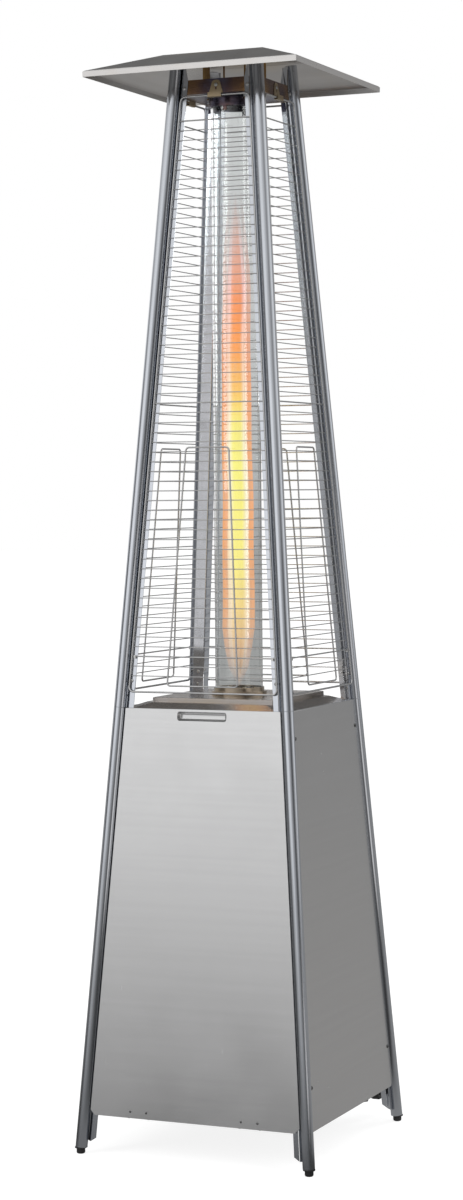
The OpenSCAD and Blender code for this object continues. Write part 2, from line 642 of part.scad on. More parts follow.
// ---- Wheels ----
module wheel(side) color("black") translate([side * wheel_x, wheel_y, axle_z]) rotate([0, 90, 0]) difference() {
  translate([0, 0, -wheel_w / 2]) cylinder(r = wheel_r, h = wheel_w);
  ring(wheel_r - 8, axle_r + 7, wheel_w / 2 - 5, 6);
  ring(wheel_r - 8, axle_r + 7, -wheel_w / 2 - 1, 6);
  translate([0, 0, -wheel_w]) cylinder(r = axle_r + run_gap, h = 2 * wheel_w);
}
module wheel_brackets() color("dimgray") for (side = [-1, 1]) difference() {
  y1 = half(panel_z) - 4;
  x0 = side > 0 ? arm_x : -arm_x - arm_t;
  union() {
    translate([x0, 0, 0]) rotate([90, 0, 90]) linear_extrude(arm_t) polygon([[160, base_z - 2], [y1, base_z - 2],
      [y1 + 5, panel_z - 4], [wheel_y + 6, panel_z - 4], [wheel_y + 14, axle_z], [wheel_y + 4, axle_z - 13],
      [wheel_y - 28, axle_z - 36], [wheel_y - 80, axle_z - 28]]);
    translate([side > 0 ? arm_x - 25 : -arm_x, 160, base_z - 2]) cube([25, y1 - 160, 2]);
    translate([x0, 160, base_z - 2.1]) cube([arm_t, y1 - 160, 2.1]);
  }
  translate([side * wheel_x, wheel_y, axle_z]) rotate([0, 90, 0])
    cylinder(r = axle_r, h = 4 * wheel_w, center = true);
}
module wheel_axles() color("silver") for (side = [-1, 1]) scale([side, 1, 1])
  translate([arm_x - 4, wheel_y, axle_z]) rotate([0, 90, 0]) {
    cylinder(r = axle_r, h = wheel_w + arm_t + 8 + free_gap);
    cylinder(r = axle_r + 4, h = 4);
    translate([0, 0, arm_t + wheel_w + 4 + 2 * free_gap]) cylinder(r = axle_r + 4, h = 4);
  }

lower_leg(0);  // lower_leg_front_right
lower_leg(1);  // lower_leg_back_right
lower_leg(2);  // lower_leg_back_left
lower_leg(3);  // lower_leg_front_left
upper_leg(0);  // upper_leg_front_right
upper_leg(1);  // upper_leg_back_right
upper_leg(2);  // upper_leg_back_left
upper_leg(3);  // upper_leg_front_left
feet();
leg_sleeves();
leg_joint_screws();
base_plate();
panel(1);  // panel_right
panel(2);  // panel_back
panel(3);  // panel_left
panel_screws();
burner_tray();
burner_lid();
burner_cup();
burner_plate();
gas_jet();
gas_pipe();
gas_valve();
gas_inlet();
control_bracket();
control_bezel();
valve_spindle();
control_knob();
igniter_body();
igniter_button();
igniter_electrode();
thermocouple();
tilt_switch();
tube_seat();
tube_gasket();
glass_tube();
top_collar();
top_pan();
pan_screws();
reflector();
reflector_studs();
reflector_nuts();
reflector_straps();
guard(0);  // guard_front
guard(1);  // guard_right
guard(2);  // guard_back
guard(3);  // guard_left
guard_clips();
clip_screws();
guard_hooks();
door_panel();
door_handle_cup();
door_brackets();
door_pins();
door_rivets();
door_magnets();
wheel(-1);  // wheel_left
wheel(1);  // wheel_right
wheel_brackets();
wheel_axles();
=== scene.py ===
"""A gas patio heater: its finishes, finely shaped pieces, flame, and the studio around it."""

import logging
import math
from contextlib import contextmanager
from dataclasses import dataclass
from enum import Enum
from typing import Callable, Iterator, Sequence

import bmesh
import bpy
from mathutils import Matrix, Vector


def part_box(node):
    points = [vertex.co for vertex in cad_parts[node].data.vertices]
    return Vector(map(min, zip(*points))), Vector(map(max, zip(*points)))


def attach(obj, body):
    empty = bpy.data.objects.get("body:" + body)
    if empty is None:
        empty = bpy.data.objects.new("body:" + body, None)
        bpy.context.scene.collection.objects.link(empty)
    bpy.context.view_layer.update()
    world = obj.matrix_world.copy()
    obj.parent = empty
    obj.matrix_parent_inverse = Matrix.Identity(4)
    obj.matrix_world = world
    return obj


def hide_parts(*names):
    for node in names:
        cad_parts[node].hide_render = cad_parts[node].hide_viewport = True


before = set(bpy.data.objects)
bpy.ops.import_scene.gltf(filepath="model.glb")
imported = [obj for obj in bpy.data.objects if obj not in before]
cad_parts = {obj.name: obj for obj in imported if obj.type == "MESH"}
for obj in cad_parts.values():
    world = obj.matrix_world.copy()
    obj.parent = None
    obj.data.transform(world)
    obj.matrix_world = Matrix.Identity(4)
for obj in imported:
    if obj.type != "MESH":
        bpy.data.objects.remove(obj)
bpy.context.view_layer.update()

LOG = logging.getLogger("patio_heater")
Piece = bpy.types.Object
Socket = bpy.types.NodeSocket
Point = Sequence[float]
Profile = Sequence[tuple[float, float]]
Colour = tuple[float, float, float]
Stops = Sequence[tuple[float, Colour]]
Test = Callable[[Vector, Vector], bool]
UP = Vector((0.0, 0.0, 1.0))
ROOT = "frame"
QUARTER = math.pi / 2
CIRCLE = 2 * math.pi
SLACK = 1e-5


# ---- The heater's leaning shape -------------------------------------------------------------


class Side(Enum):
    """The four faces, numbered anticlockwise from above, starting at the door."""

    FRONT = 0
    RIGHT = 1
    BACK = 2
    LEFT = 3


class Corner(Enum):
    """The four legs: each stands anticlockwise of the face with its number."""

    FRONT_RIGHT = 0
    BACK_RIGHT = 1
    BACK_LEFT = 2
    FRONT_LEFT = 3


@dataclass(frozen=True)
class Pyramid:
    """The slim pyramid that the leg axes and the faces follow, in metres."""

    base_half: float = 0.255
    top_half: float = 0.090
    height: float = 2.270

    @property
    def lean(self) -> float:
        """How far a face comes in for each unit of height."""
        return (self.base_half - self.top_half) / self.height

    @property
    def tilt(self) -> float:
        """Angle of a face from the upright."""
        return math.atan(self.lean)

    def half(self, z: float) -> float:
        """Distance of a leg axis from the centre line at height z."""
        return self.base_half - self.lean * z

    def rise(self, z: float) -> float:
        """Length up a face that reaches height z."""
        return z / math.cos(self.tilt)

    def on(self, u: float, n: float, z: float) -> Vector:
        """A point of a face in its own frame: u along it, n in front of it, at height z."""
        return Vector((u, -n, self.rise(z)))

    def face(self, side: Side) -> Matrix:
        """Places a piece made in a face's own frame on that side of the heater."""
        out = Matrix.Translation((0, -self.base_half, 0)) @ Matrix.Rotation(-self.tilt, 4, "X")
        return self.turn(side.value) @ out

    def out(self, side: Side, u: float, n: float, z: float) -> Matrix:
        """Places a piece made along the Z axis so that it stands out of a face."""
        at = Matrix.Translation(self.on(u, n, z))
        return self.face(side) @ at @ Matrix.Rotation(QUARTER, 4, "X")

    def turn(self, number: int) -> Matrix:
        """Turns a piece made at the first corner or face to the one with that number."""
        return Matrix.Rotation(math.radians(90 * number), 4, "Z")

    def leg_point(self, z: float, inwards: float = 0.0) -> Vector:
        """A point on the front right leg's axis, or moved inwards along the diagonal."""
        reach = self.half(z) - inwards / math.sqrt(2)
        return Vector((reach, -reach, z))


SHAPE = Pyramid()


# ---- Bench: the few moves that every piece is made with -------------------------------------


class Pick(Enum):
    """What an edit acts on."""

    POINTS = "VERT"
    EDGES = "EDGE"
    FACES = "FACE"


def choose(*pieces: Piece) -> None:
    """Selects pieces and nothing else, and makes the first one active."""
    bpy.ops.object.select_all(action="DESELECT")
    for piece in pieces:
        piece.select_set(True)
    if pieces:
        bpy.context.view_layer.objects.active = pieces[0]


@contextmanager
def editing(piece: Piece) -> Iterator[None]:
    """Opens a piece in edit mode with nothing selected, and closes it again.

    Args:
        piece: The mesh object to edit.
    """
    choose(piece)
    bpy.ops.object.mode_set(mode="EDIT")
    bpy.ops.mesh.select_all(action="DESELECT")
    yield
    bpy.ops.object.mode_set(mode="OBJECT")


def pick(kind: Pick, test: Test) -> None:
    """Selects points, edges or faces of the piece that is open in edit mode.

    Args:
        kind: What to select.
        test: Says yes to a middle and a direction: a face's or point's normal, or an edge's run.
    """
    bpy.ops.mesh.select_mode(type=kind.value)
    bpy.ops.mesh.select_all(action="DESELECT")
    data = bpy.context.edit_object.data
    mesh = bmesh.from_edit_mesh(data)
    if kind is Pick.POINTS:
        found = [(v, v.co, v.normal) for v in mesh.verts]
    elif kind is Pick.EDGES:
        ends = [(e, e.verts[0].co, e.verts[1].co) for e in mesh.edges]
        found = [(e, (first + last) / 2, last - first) for e, first, last in ends]
    else:
        found = [(f, f.calc_center_median(), f.normal) for f in mesh.faces]
    for item, middle, direction in found:
        if test(middle, direction):
            item.select_set(True)
    bmesh.update_edit_mesh(data)


def every() -> None:
    """Selects the whole of the open piece."""
    bpy.ops.mesh.select_all(action="SELECT")


def face_out() -> None:
    """Turns all faces of the open piece outwards."""
    every()
    bpy.ops.mesh.normals_make_consistent(inside=False)


def pull(step: Point) -> None:
    """Extrudes what is selected by a step."""
    bpy.ops.mesh.extrude_region_move(TRANSFORM_OT_translate={"value": step})


def scale(factors: Point, centre: Point) -> None:
    """Scales what is selected about a centre."""
    bpy.ops.transform.resize(value=factors, center_override=centre)


def bevel(radius: float, steps: int = 2, affect: str = "EDGES") -> None:
    """Rounds what is selected."""
    bpy.ops.mesh.bevel(offset=radius, segments=steps, affect=affect)


def round_off(test: Test, radius: float, steps: int) -> None:
    """Rounds the chosen edges of the open piece."""
    pick(Pick.EDGES, test)
    bevel(radius, steps)


def start(name: str) -> Piece:
    """Takes the primitive just added, with its place in its mesh, under a name."""
    piece = bpy.context.object
    bpy.ops.object.transform_apply(location=True, rotation=True, scale=True)
    piece.name = name
    piece.data.name = name
    return piece


def block(name: str, low: Point, high: Point, edge: float = 0.0, steps: int = 2) -> Piece:
    """A cube brought to size between two corners, with its edges rounded.

    Args:
        name: The new piece's name.
        low: Its lowest corner.
        high: Its highest corner.
        edge: Radius of its edges, or 0 for sharp ones.
        steps: Segments of each rounded edge.

    Returns:
        The new piece.
    """
    choose()
    middle = (Vector(low) + Vector(high)) / 2
    bpy.ops.mesh.primitive_cube_add(size=1, location=middle, scale=Vector(high) - Vector(low))
    piece = start(name)
    if edge > 0:
        with editing(piece):
            every()
            bevel(edge, steps)
    return piece


def rod(
    name: str, foot: Point, head: Point, radius: float, sides: int = 32, edge: float = 0.0
) -> Piece:
    """A straight round bar from one point to another, with its rims rounded.

    Args:
        name: The new piece's name.
        foot: Middle of its first end.
        head: Middle of its other end.
        radius: Its radius.
        sides: Sides of its round.
        edge: Radius of its two rims.

    Returns:
        The new piece.
    """
    choose()
    run = Vector(head) - Vector(foot)
    bpy.ops.mesh.primitive_cylinder_add(
        vertices=sides,
        radius=radius,
        depth=run.length,
        location=(Vector(foot) + Vector(head)) / 2,
        rotation=run.to_track_quat("Z", "Y").to_euler(),
    )
    piece = start(name)
    if edge > 0:
        along = run.normalized()
        with editing(piece):
            round_off(lambda middle, way: abs(way.normalized().dot(along)) < 0.5, edge, 2)
    return piece


def trace(name: str, points: Sequence[Point], closed: bool = False) -> Piece:
    """A chain of edges drawn by extruding one point along a list.

    Args:
        name: The new piece's name.
        points: The points in order.
        closed: Whether the last point joins the first.

    Returns:
        The new piece, which has edges only.
    """
    choose()
    bpy.ops.mesh.primitive_plane_add(size=1)
    piece = start(name)
    ends = [Vector(points[0]), Vector(points[-1])]
    with editing(piece):
        every()
        bpy.ops.mesh.merge(type="CENTER")
        bpy.ops.mesh.select_mode(type="VERT")
        every()
        here = Vector(points[0])
        bpy.ops.transform.translate(value=here)
        for point in points[1:]:
            pull(Vector(point) - here)
            here = Vector(point)
        if closed:
            pick(Pick.POINTS, lambda at, _: min((at - end).length for end in ends) < 1e-6)
            bpy.ops.mesh.edge_face_add()
    return piece


def sheet(name: str, outline: Sequence[Point]) -> Piece:
    """A flat face inside a traced outline."""
    piece = trace(name, outline, closed=True)
    with editing(piece):
        every()
        bpy.ops.mesh.edge_face_add()
    return piece


def round_points(piece: Piece, radius: float, steps: int = 4) -> None:
    """Rounds every inner bend of a traced chain."""
    with editing(piece):
        every()
        bevel(radius, steps, "VERTICES")


def make_tube(piece: Piece, radius: float, fineness: int = 2) -> Piece:
    """Gives a traced chain a round section, as a rod bent along it.

    Args:
        piece: A chain of edges.
        radius: Radius of the rod.
        fineness: Extra rings in a quarter of its round.

    Returns:
        The same piece, as a mesh.
    """
    choose(piece)
    bpy.ops.object.convert(target="CURVE")
    piece.data.bevel_depth = radius
    piece.data.bevel_resolution = fineness
    piece.data.use_fill_caps = True
    bpy.ops.object.convert(target="MESH")
    return piece


def lathe(name: str, profile: Profile, steps: int = 64, bend: float = 0.0) -> Piece:
    """A turned piece: a profile spun about the upright axis.

    Args:
        name: The new piece's name.
        profile: Radius and height of each point; closed if the last is the first.
        steps: Steps of the spin.
        bend: Radius put on the profile's corners first.

    Returns:
        The new piece.
    """
    closed = profile[0] == profile[-1]
    ends = profile[:-1] if closed else profile
    piece = trace(name, [(r, 0, z) for r, z in ends], closed)
    if bend > 0:
        round_points(piece, bend, 3)
    with editing(piece):
        every()
        bpy.ops.mesh.spin(steps=steps, angle=CIRCLE, center=(0, 0, 0), axis=UP)
        every()
        bpy.ops.mesh.remove_doubles(threshold=2e-6)
        bpy.ops.mesh.normals_make_consistent(inside=False)
    return piece


def modify(piece: Piece, kind: str, **settings: object) -> Piece:
    """Adds one modifier, sets it and applies it."""
    choose(piece)
    modifier = piece.modifiers.new(kind.title(), kind)
    for key, value in settings.items():
        setattr(modifier, key, value)
    bpy.ops.object.modifier_apply(modifier=modifier.name)
    return piece


def thicken(piece: Piece, wall: float, offset: float = 0.0) -> Piece:
    """Gives a sheet its wall: offset 0 is about its middle, 1 outwards and -1 inwards."""
    even = {"use_even_offset": True, "use_quality_normals": True}
    return modify(piece, "SOLIDIFY", thickness=wall, offset=offset, **even)


def move(piece: Piece, place: Matrix) -> Piece:
    """Puts a piece in its place, in its mesh."""
    piece.data.transform(place)
    return piece


def copy(piece: Piece, name: str, place: Matrix) -> Piece:
    """A copy with its own mesh, in its own place."""
    choose(piece)
    bpy.ops.object.duplicate(linked=False)
    twin = bpy.context.object
    twin.name = name
    return move(twin, place)


def repeat(pattern: Piece, places: Sequence[Matrix]) -> list[Piece]:
    """Copies a pattern into several places, and takes the pattern away."""
    made = [copy(pattern, f"{pattern.name}_{k}", place) for k, place in enumerate(places)]
    bpy.data.objects.remove(pattern)
    return made


def around(count: int) -> list[Matrix]:
    """Turns about the upright axis, evenly spread over a circle."""
    return [Matrix.Rotation(CIRCLE * k / count, 4, "Z") for k in range(count)]


def join(pieces: Sequence[Piece], name: str) -> Piece:
    """Makes several pieces one, under a name."""
    choose(*pieces)
    if len(pieces) > 1:
        bpy.ops.object.join()
    pieces[0].name = name
    pieces[0].data.name = name
    return pieces[0]


def cut(piece: Piece, *tools: Piece) -> Piece:
    """Cuts tool shapes out of a piece and takes the tools away."""
    for tool in tools:
        modify(piece, "BOOLEAN", operation="DIFFERENCE", object=tool, solver="EXACT")
        bpy.data.objects.remove(tool)
    return piece


def cut_below(piece: Piece, point: Point, normal: Point, test: Test) -> None:
    """Cuts away what lies on the side that the normal points to.

    Args:
        piece: The mesh to cut.
        point: A point of the cutting plane.
        normal: The plane's normal, towards what goes.
        test: Which faces the cut acts on.
    """
    with editing(piece):
        pick(Pick.FACES, test)
        bpy.ops.mesh.bisect(plane_co=point, plane_no=normal, clear_outer=True)


def deliver(
    piece: Piece,
    finish: "Finish",
    body: str = ROOT,
    stands_for: Sequence[str] = (),
    angle: float = 35.0,
) -> None:
    """Smooths and dresses a finished piece, and hands it to the frame.

    Args:
        piece: The piece, in its place.
        finish: Its finish.
        body: The moving body that it rides on.
        stands_for: The plain nodes that it stands for.
        angle: Edges flatter than this, in degrees, shade smooth.
    """
    choose(piece)
    bpy.ops.object.shade_smooth_by_angle(angle=math.radians(angle))
    modify(piece, "WEIGHTED_NORMAL", mode="FACE_AREA", weight=80, keep_sharp=True)
    piece.data.materials.clear()
    piece.data.materials.append(finish.material())
    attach(piece, body)
    if stands_for:
        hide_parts(*stands_for)
    LOG.info("%s: %d faces, %s", piece.name, len(piece.data.polygons), finish.name)


def dress(finish: "Finish", *nodes: str) -> None:
    """Gives plain nodes their finish, and leaves their shapes alone."""
    for node in nodes:
        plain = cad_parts[node]
        plain.data.materials.clear()
        plain.data.materials.append(finish.material())
        LOG.info("%s: %s", node, finish.name)


# ---- Finishes -------------------------------------------------------------------------------


class Wiring:
    """A node tree that is filled one node at a time."""

    def __init__(self, tree: bpy.types.NodeTree) -> None:
        """Starts on an empty tree."""
        self.tree = tree
        tree.nodes.clear()

    def node(
        self, kind: str, values: dict[str, object] | None = None, **settings: object
    ) -> bpy.types.Node:
        """Adds a node.

        Args:
            kind: Blender's name for it, without its ShaderNode beginning unless it has another.
            values: What its sockets are set to, or the output that feeds them.
            settings: Its own properties.

        Returns:
            The new node.
        """
        made = self.tree.nodes.new(kind if kind.startswith("Node") else "ShaderNode" + kind)
        for key, value in settings.items():
            setattr(made, key, value)
        for key, value in (values or {}).items():
            socket = made.inputs[int(key[1:]) if key[0] == "#" else key]
            if isinstance(value, Socket):
                self.tree.links.new(value, socket)
            else:
                socket.default_value = value
        return made

    def math(
        self, operation: str, first: object, second: object = 0.0, clamp: bool = False
    ) -> Socket:
        """One step of arithmetic."""
        values = {"#0": first, "#1": second}
        return self.node("Math", values, operation=operation, use_clamp=clamp).outputs[0]

    def add(self, first: object, second: object, clamp: bool = False) -> Socket:
        """Adds two values."""
        return self.math("ADD", first, second, clamp)

    def times(self, first: object, second: object, clamp: bool = False) -> Socket:
        """Multiplies two values."""
        return self.math("MULTIPLY", first, second, clamp)

    def scaled(self, vector: object, by: object) -> Socket:
        """Multiplies two vectors."""
        values = {"#0": vector, "#1": by}
        return self.node("VectorMath", values, operation="MULTIPLY").outputs[0]

    def length(self, vector: object) -> Socket:
        """Length of a vector."""
        return self.node("VectorMath", {"#0": vector}, operation="LENGTH").outputs["Value"]

    def parts(self, vector: object) -> Sequence[Socket]:
        """The three parts of a vector."""
        return self.node("SeparateXYZ", {"#0": vector}).outputs

    def heading(self, parts: Sequence[Socket]) -> Socket:
        """Compass direction of a vector, as a share of a full turn."""
        angle = self.math("ARCTAN2", parts[1], parts[0])
        return self.add(self.math("DIVIDE", angle, CIRCLE), 0.5)

    def spread(
        self, value: object, low: float, high: float, to_low: float = 0.0, to_high: float = 1.0
    ) -> Socket:
        """Maps a range of one value to another range, and clamps it."""
        values = {"Value": value, "From Min": low, "From Max": high}
        values |= {"To Min": to_low, "To Max": to_high}
        return self.node("MapRange", values, clamp=True).outputs[0]

    def noise(
        self, vector: object, scale: object, detail: float = 3.0, roughness: float = 0.5
    ) -> Socket:
        """A soft random value over a vector."""
        values = {"Vector": vector, "Scale": scale, "Detail": detail, "Roughness": roughness}
        return self.node("TexNoise", values).outputs[0]

    def place(self) -> Socket:
        """The point's place on the object."""
        return self.node("TexCoord").outputs["Object"]

    def ramp(self, value: object, stops: Stops) -> Socket:
        """A colour ramp through some stops."""
        made = self.node("ValToRGB", {"Fac": value})
        band = made.color_ramp
        band.elements[0].position = stops[0][0]
        band.elements[-1].position = stops[-1][0]
        for place, _ in stops[1:-1]:
            band.elements.new(place)
        for element, (_, colour) in zip(band.elements, stops):
            element.color = (*colour, 1.0)
        return made.outputs[0]

    def greys(self, value: object, stops: Profile) -> Socket:
        """A ramp through shades of grey."""
        return self.ramp(value, [(at, (tone, tone, tone)) for at, tone in stops])

    def blend(self, share: object, first: object, second: object, way: str = "MIX") -> Socket:
        """Mixes two colours."""
        values = {"#0": share, "#6": first, "#7": second}
        return self.node("Mix", values, data_type="RGBA", blend_type=way).outputs[2]

    def tint(self, first: object, second: object) -> Socket:
        """Multiplies two colours."""
        return self.blend(1.0, first, second, "MULTIPLY")

    def surface(self, values: dict[str, object]) -> None:
        """Ends a material on a principled surface."""
        shader = self.node("BsdfPrincipled", values)
        self.node("OutputMaterial", {"Surface": shader.outputs[0]})

    def by_ray(self, mirrored: Socket, seen: Socket, output: str) -> None:
        """Ends a tree on two looks: one for rays from the camera, one for all others."""
        camera = self.node("LightPath").outputs["Is Camera Ray"]
        shader = self.node("MixShader", {"#0": camera, "#1": mirrored, "#2": seen})
        self.node(output, {"Surface": shader.outputs[0]})


Fill = Callable[[Wiring, Sequence[Socket]], dict[str, Socket]]
FLOAT = "NodeSocketFloat"
VECTOR = "NodeSocketVector"
COLOUR = "NodeSocketColor"


@dataclass(frozen=True)
class Effect:
    """A shared effect, kept as one node group.

    Args:
        name: The group's name.
        inputs: Each input's socket kind and first value.
        outputs: Each output's socket kind.
        fill: Builds the group's nodes from its inputs, and gives its outputs.
    """

    name: str
    inputs: dict[str, tuple[str, object]]
    outputs: dict[str, str]
    fill: Fill

    def placed(self, wiring: Wiring, **values: object) -> Sequence[Socket]:
        """Places the effect in a material with its own values.

        Args:
            wiring: The material's wiring.
            values: What its inputs are set to, with _ for the space in a name.

        Returns:
            Its outputs.
        """
        group = bpy.data.node_groups.get(self.name)
        if group is None:
            group = bpy.data.node_groups.new(self.name, "ShaderNodeTree")
            for key, (kind, value) in self.inputs.items():
                socket = group.interface.new_socket(key, in_out="INPUT", socket_type=kind)
                socket.default_value = value
            for key, kind in self.outputs.items():
                group.interface.new_socket(key, in_out="OUTPUT", socket_type=kind)
            inner = Wiring(group)
            given = inner.node("NodeGroupInput").outputs
            inner.node("NodeGroupOutput", self.fill(inner, given))
        spaced = {key.replace("_", " "): value for key, value in values.items()}
        return wiring.node("Group", spaced, node_tree=group).outputs


def fill_grain(wiring: Wiring, given: Sequence[Socket]) -> dict[str, Socket]:
    """Brush lines: a fine noise stretched by a scale for each axis, and a broader one for tone."""
    fine = wiring.scaled(wiring.place(), given["Scale"])
    broad = wiring.scaled(fine, (0.11, 0.11, 0.11))
    return {"Grain": wiring.noise(fine, 1.0, 4.0, 0.6), "Tone": wiring.noise(broad, 1.0, 2.0)}


def fill_marks(wiring: Wiring, given: Sequence[Socket]) -> dict[str, Socket]:
    """Handling marks: soft clouds, and thin scratches that run in two slanting directions."""
    place = wiring.place()
    cloud = wiring.noise(place, given["Cloud Size"], 4.0)
    lines = []
    for turn in (0.5, -0.9):
        values = {"Vector": place, "Rotation": (turn, 0.4, turn), "Scale": (22.0, 1.0, 1.0)}
        slanted = wiring.node("Mapping", values).outputs[0]
        raw = wiring.noise(slanted, given["Scratch Size"], 1.0)
        lines.append(wiring.spread(raw, 0.70, 0.78))
    scratch = wiring.math("MAXIMUM", *lines)
    return {"Cloud": wiring.spread(cloud, 0.35, 0.65), "Scratch": scratch}


def fill_dust(wiring: Wiring, given: Sequence[Socket]) -> dict[str, Socket]:
    """Dust: where a surface faces up, broken by noise."""
    facing = wiring.parts(wiring.node("NewGeometry").outputs["Normal"])[2]
    patch = wiring.spread(wiring.noise(wiring.place(), 55.0, 5.0, 0.65), 0.42, 0.72)
    level = wiring.times(wiring.spread(facing, 0.35, 0.95), patch)
    return {"Mask": wiring.times(level, given["Amount"], True)}


TEMPER_COLOURS = (
    (0.0, (0.60, 0.60, 0.60)),
    (0.22, (0.60, 0.50, 0.33)),
    (0.42, (0.46, 0.31, 0.14)),
    (0.58, (0.25, 0.145, 0.07)),
    (0.72, (0.12, 0.08, 0.085)),
    (0.86, (0.14, 0.17, 0.27)),
    (1.0, (0.20, 0.20, 0.21)),
)


def fill_heat(wiring: Wiring, given: Sequence[Socket]) -> dict[str, Socket]:
    """Temper colours: steel, straw, gold, bronze, purple, blue and grey as the heat rises."""
    loose = wiring.math("SUBTRACT", wiring.noise(wiring.place(), 17.0, 4.0, 0.6), 0.5)
    heat = wiring.add(given["Heat"], wiring.times(loose, given["Wander"]), True)
    return {"Color": wiring.ramp(heat, TEMPER_COLOURS), "Heat": heat}


GRAIN = Effect(
    "brush_grain", {"Scale": (VECTOR, (1.0,) * 3)}, {"Grain": FLOAT, "Tone": FLOAT}, fill_grain
)
MARKS = Effect(
    "handling_marks",
    {"Cloud Size": (FLOAT, 9.0), "Scratch Size": (FLOAT, 60.0)},
    {"Cloud": FLOAT, "Scratch": FLOAT},
    fill_marks,
)
DUST = Effect("settled_dust", {"Amount": (FLOAT, 0.3)}, {"Mask": FLOAT}, fill_dust)
HEAT = Effect(
    "temper_colours",
    {"Heat": (FLOAT, 0.0), "Wander": (FLOAT, 0.2)},
    {"Color": COLOUR, "Heat": FLOAT},
    fill_heat,
)


@dataclass(frozen=True)
class Finish:
    """A surface finish: its colours and gloss, its grain, marks and dust."""

    name: str
    slot: str
    colour: Colour
    metallic: float = 0.0
    roughness: float = 0.4
    grain: Colour = (400.0, 400.0, 400.0)
    grain_depth: float = 0.00002
    grain_gloss: float = 0.08
    tone: float = 0.08
    cloud_gloss: float = 0.05
    scratches: float = 0.0
    dust: float = 0.1
    coat: float = 0.0

    def material(self) -> bpy.types.Material:
        """The finish as a material, made once."""
        found = bpy.data.materials.get(self.name)
        if found is None:
            found = bpy.data.materials.new(self.name)
            found.use_nodes = True
            self.fill(Wiring(found.node_tree))
        return found

    def base(self, wiring: Wiring) -> Socket | tuple[float, float, float, float]:
        """The colour before grain and dust."""
        return (*self.colour, 1.0)

    def fill(self, wiring: Wiring) -> None:
        """Builds the material's nodes."""
        brush = GRAIN.placed(wiring, Scale=self.grain)
        marks = MARKS.placed(wiring, Cloud_Size=7.0, Scratch_Size=45.0)
        dust = DUST.placed(wiring, Amount=self.dust)["Mask"]
        shade = wiring.spread(brush["Tone"], 0.3, 0.7, 1.0 - self.tone, 1.0 + self.tone)
        grey = wiring.node("CombineColor", {"Red": shade, "Green": shade, "Blue": shade})
        toned = wiring.tint(self.base(wiring), grey.outputs[0])
        dusty = wiring.blend(dust, toned, (0.42, 0.40, 0.37, 1.0))
        fine = wiring.times(wiring.math("SUBTRACT", brush["Grain"], 0.5), self.grain_gloss)
        cloud = wiring.times(marks["Cloud"], self.cloud_gloss)
        worn = wiring.times(marks["Scratch"], self.scratches * 0.3)
        gloss = wiring.add(wiring.add(fine, cloud), wiring.add(worn, self.roughness), True)
        height = wiring.add(brush["Grain"], wiring.times(marks["Scratch"], -self.scratches))
        relief = {"Height": height, "Distance": self.grain_depth, "Strength": 1.0}
        wiring.surface(
            {
                "Base Color": dusty,
                "Metallic": self.metallic,
                "Roughness": wiring.add(gloss, wiring.times(dust, 0.3), True),
                "Normal": wiring.node("Bump", relief).outputs[0],
                "Coat Weight": self.coat,
                "Coat Roughness": 0.12,
            }
        )


@dataclass(frozen=True)
class HeatedSteel(Finish):
    """Steel coloured by the burner's heat, which changes with the distance from its axis."""

    near: float = 0.05
    far: float = 0.14
    near_heat: float = 0.8
    far_heat: float = 0.3
    wander: float = 0.25

    def base(self, wiring: Wiring) -> Socket:
        """Temper colours over the distance from the axis."""
        reach = wiring.length(wiring.scaled(wiring.place(), (1.0, 1.0, 0.0)))
        heat = wiring.spread(reach, self.near, self.far, self.near_heat, self.far_heat)
        temper = HEAT.placed(wiring, Heat=heat, Wander=self.wander)["Color"]
        return wiring.tint(temper, (*self.colour, 1.0))


@dataclass(frozen=True)
class Glass(Finish):
    """Clear tube glass with faint smears."""

    def fill(self, wiring: Wiring) -> None:
        """Builds the material's nodes."""
        cloud = MARKS.placed(wiring, Cloud_Size=6.0, Scratch_Size=12.0)["Cloud"]
        wiring.surface(
            {
                "Base Color": (*self.colour, 1.0),
                "Metallic": 0.0,
                "Roughness": wiring.add(wiring.times(cloud, self.cloud_gloss), self.roughness),
                "IOR": 1.47,
                "Transmission Weight": 1.0,
            }
        )


@dataclass(frozen=True)
class Flame(Finish):
    """Burning gas: colour by height, broken into tongues that stretch upwards."""

    foot: float = 0.95
    head: float = 2.0
    solid: float = 0.6
    glow: float = 1.0
    rim: tuple[float, float] = (0.0, 0.0)
    stops: Stops = ()

    def fill(self, wiring: Wiring) -> None:
        """Builds the material's nodes."""
        place = wiring.place()
        share = wiring.spread(wiring.parts(place)[2], self.foot, self.head)
        values = {"Vector": place, "Scale": (60.0, 60.0, 9.0)}
        stretched = wiring.node("Mapping", values).outputs[0]
        tongue = wiring.spread(wiring.noise(stretched, 1.0, 3.0, 0.55), 0.30, 0.62, 0.55, 1.0)
        ends = wiring.times(wiring.spread(share, 0.0, 0.16), wiring.spread(share, 1.0, 0.70))
        body = wiring.times(ends, tongue)
        if self.rim[1] > 0:
            facing = wiring.node("LayerWeight", {"Blend": 0.5}).outputs["Facing"]
            body = wiring.times(body, wiring.spread(facing, *self.rim))
        wiring.surface(
            {
                "Base Color": (0.0, 0.0, 0.0, 1.0),
                "Roughness": 1.0,
                "Specular IOR Level": 0.0,
                "Emission Color": wiring.ramp(share, self.stops),
                "Emission Strength": self.glow,
                "Alpha": wiring.times(body, self.solid, True),
            }
        )


UPRIGHT_BRUSH = (900.0, 900.0, 14.0)
LEVEL_BRUSH = (14.0, 14.0, 900.0)
FINE_TURNED = (700.0, 700.0, 700.0)
NO_COLOUR = (0.0, 0.0, 0.0)

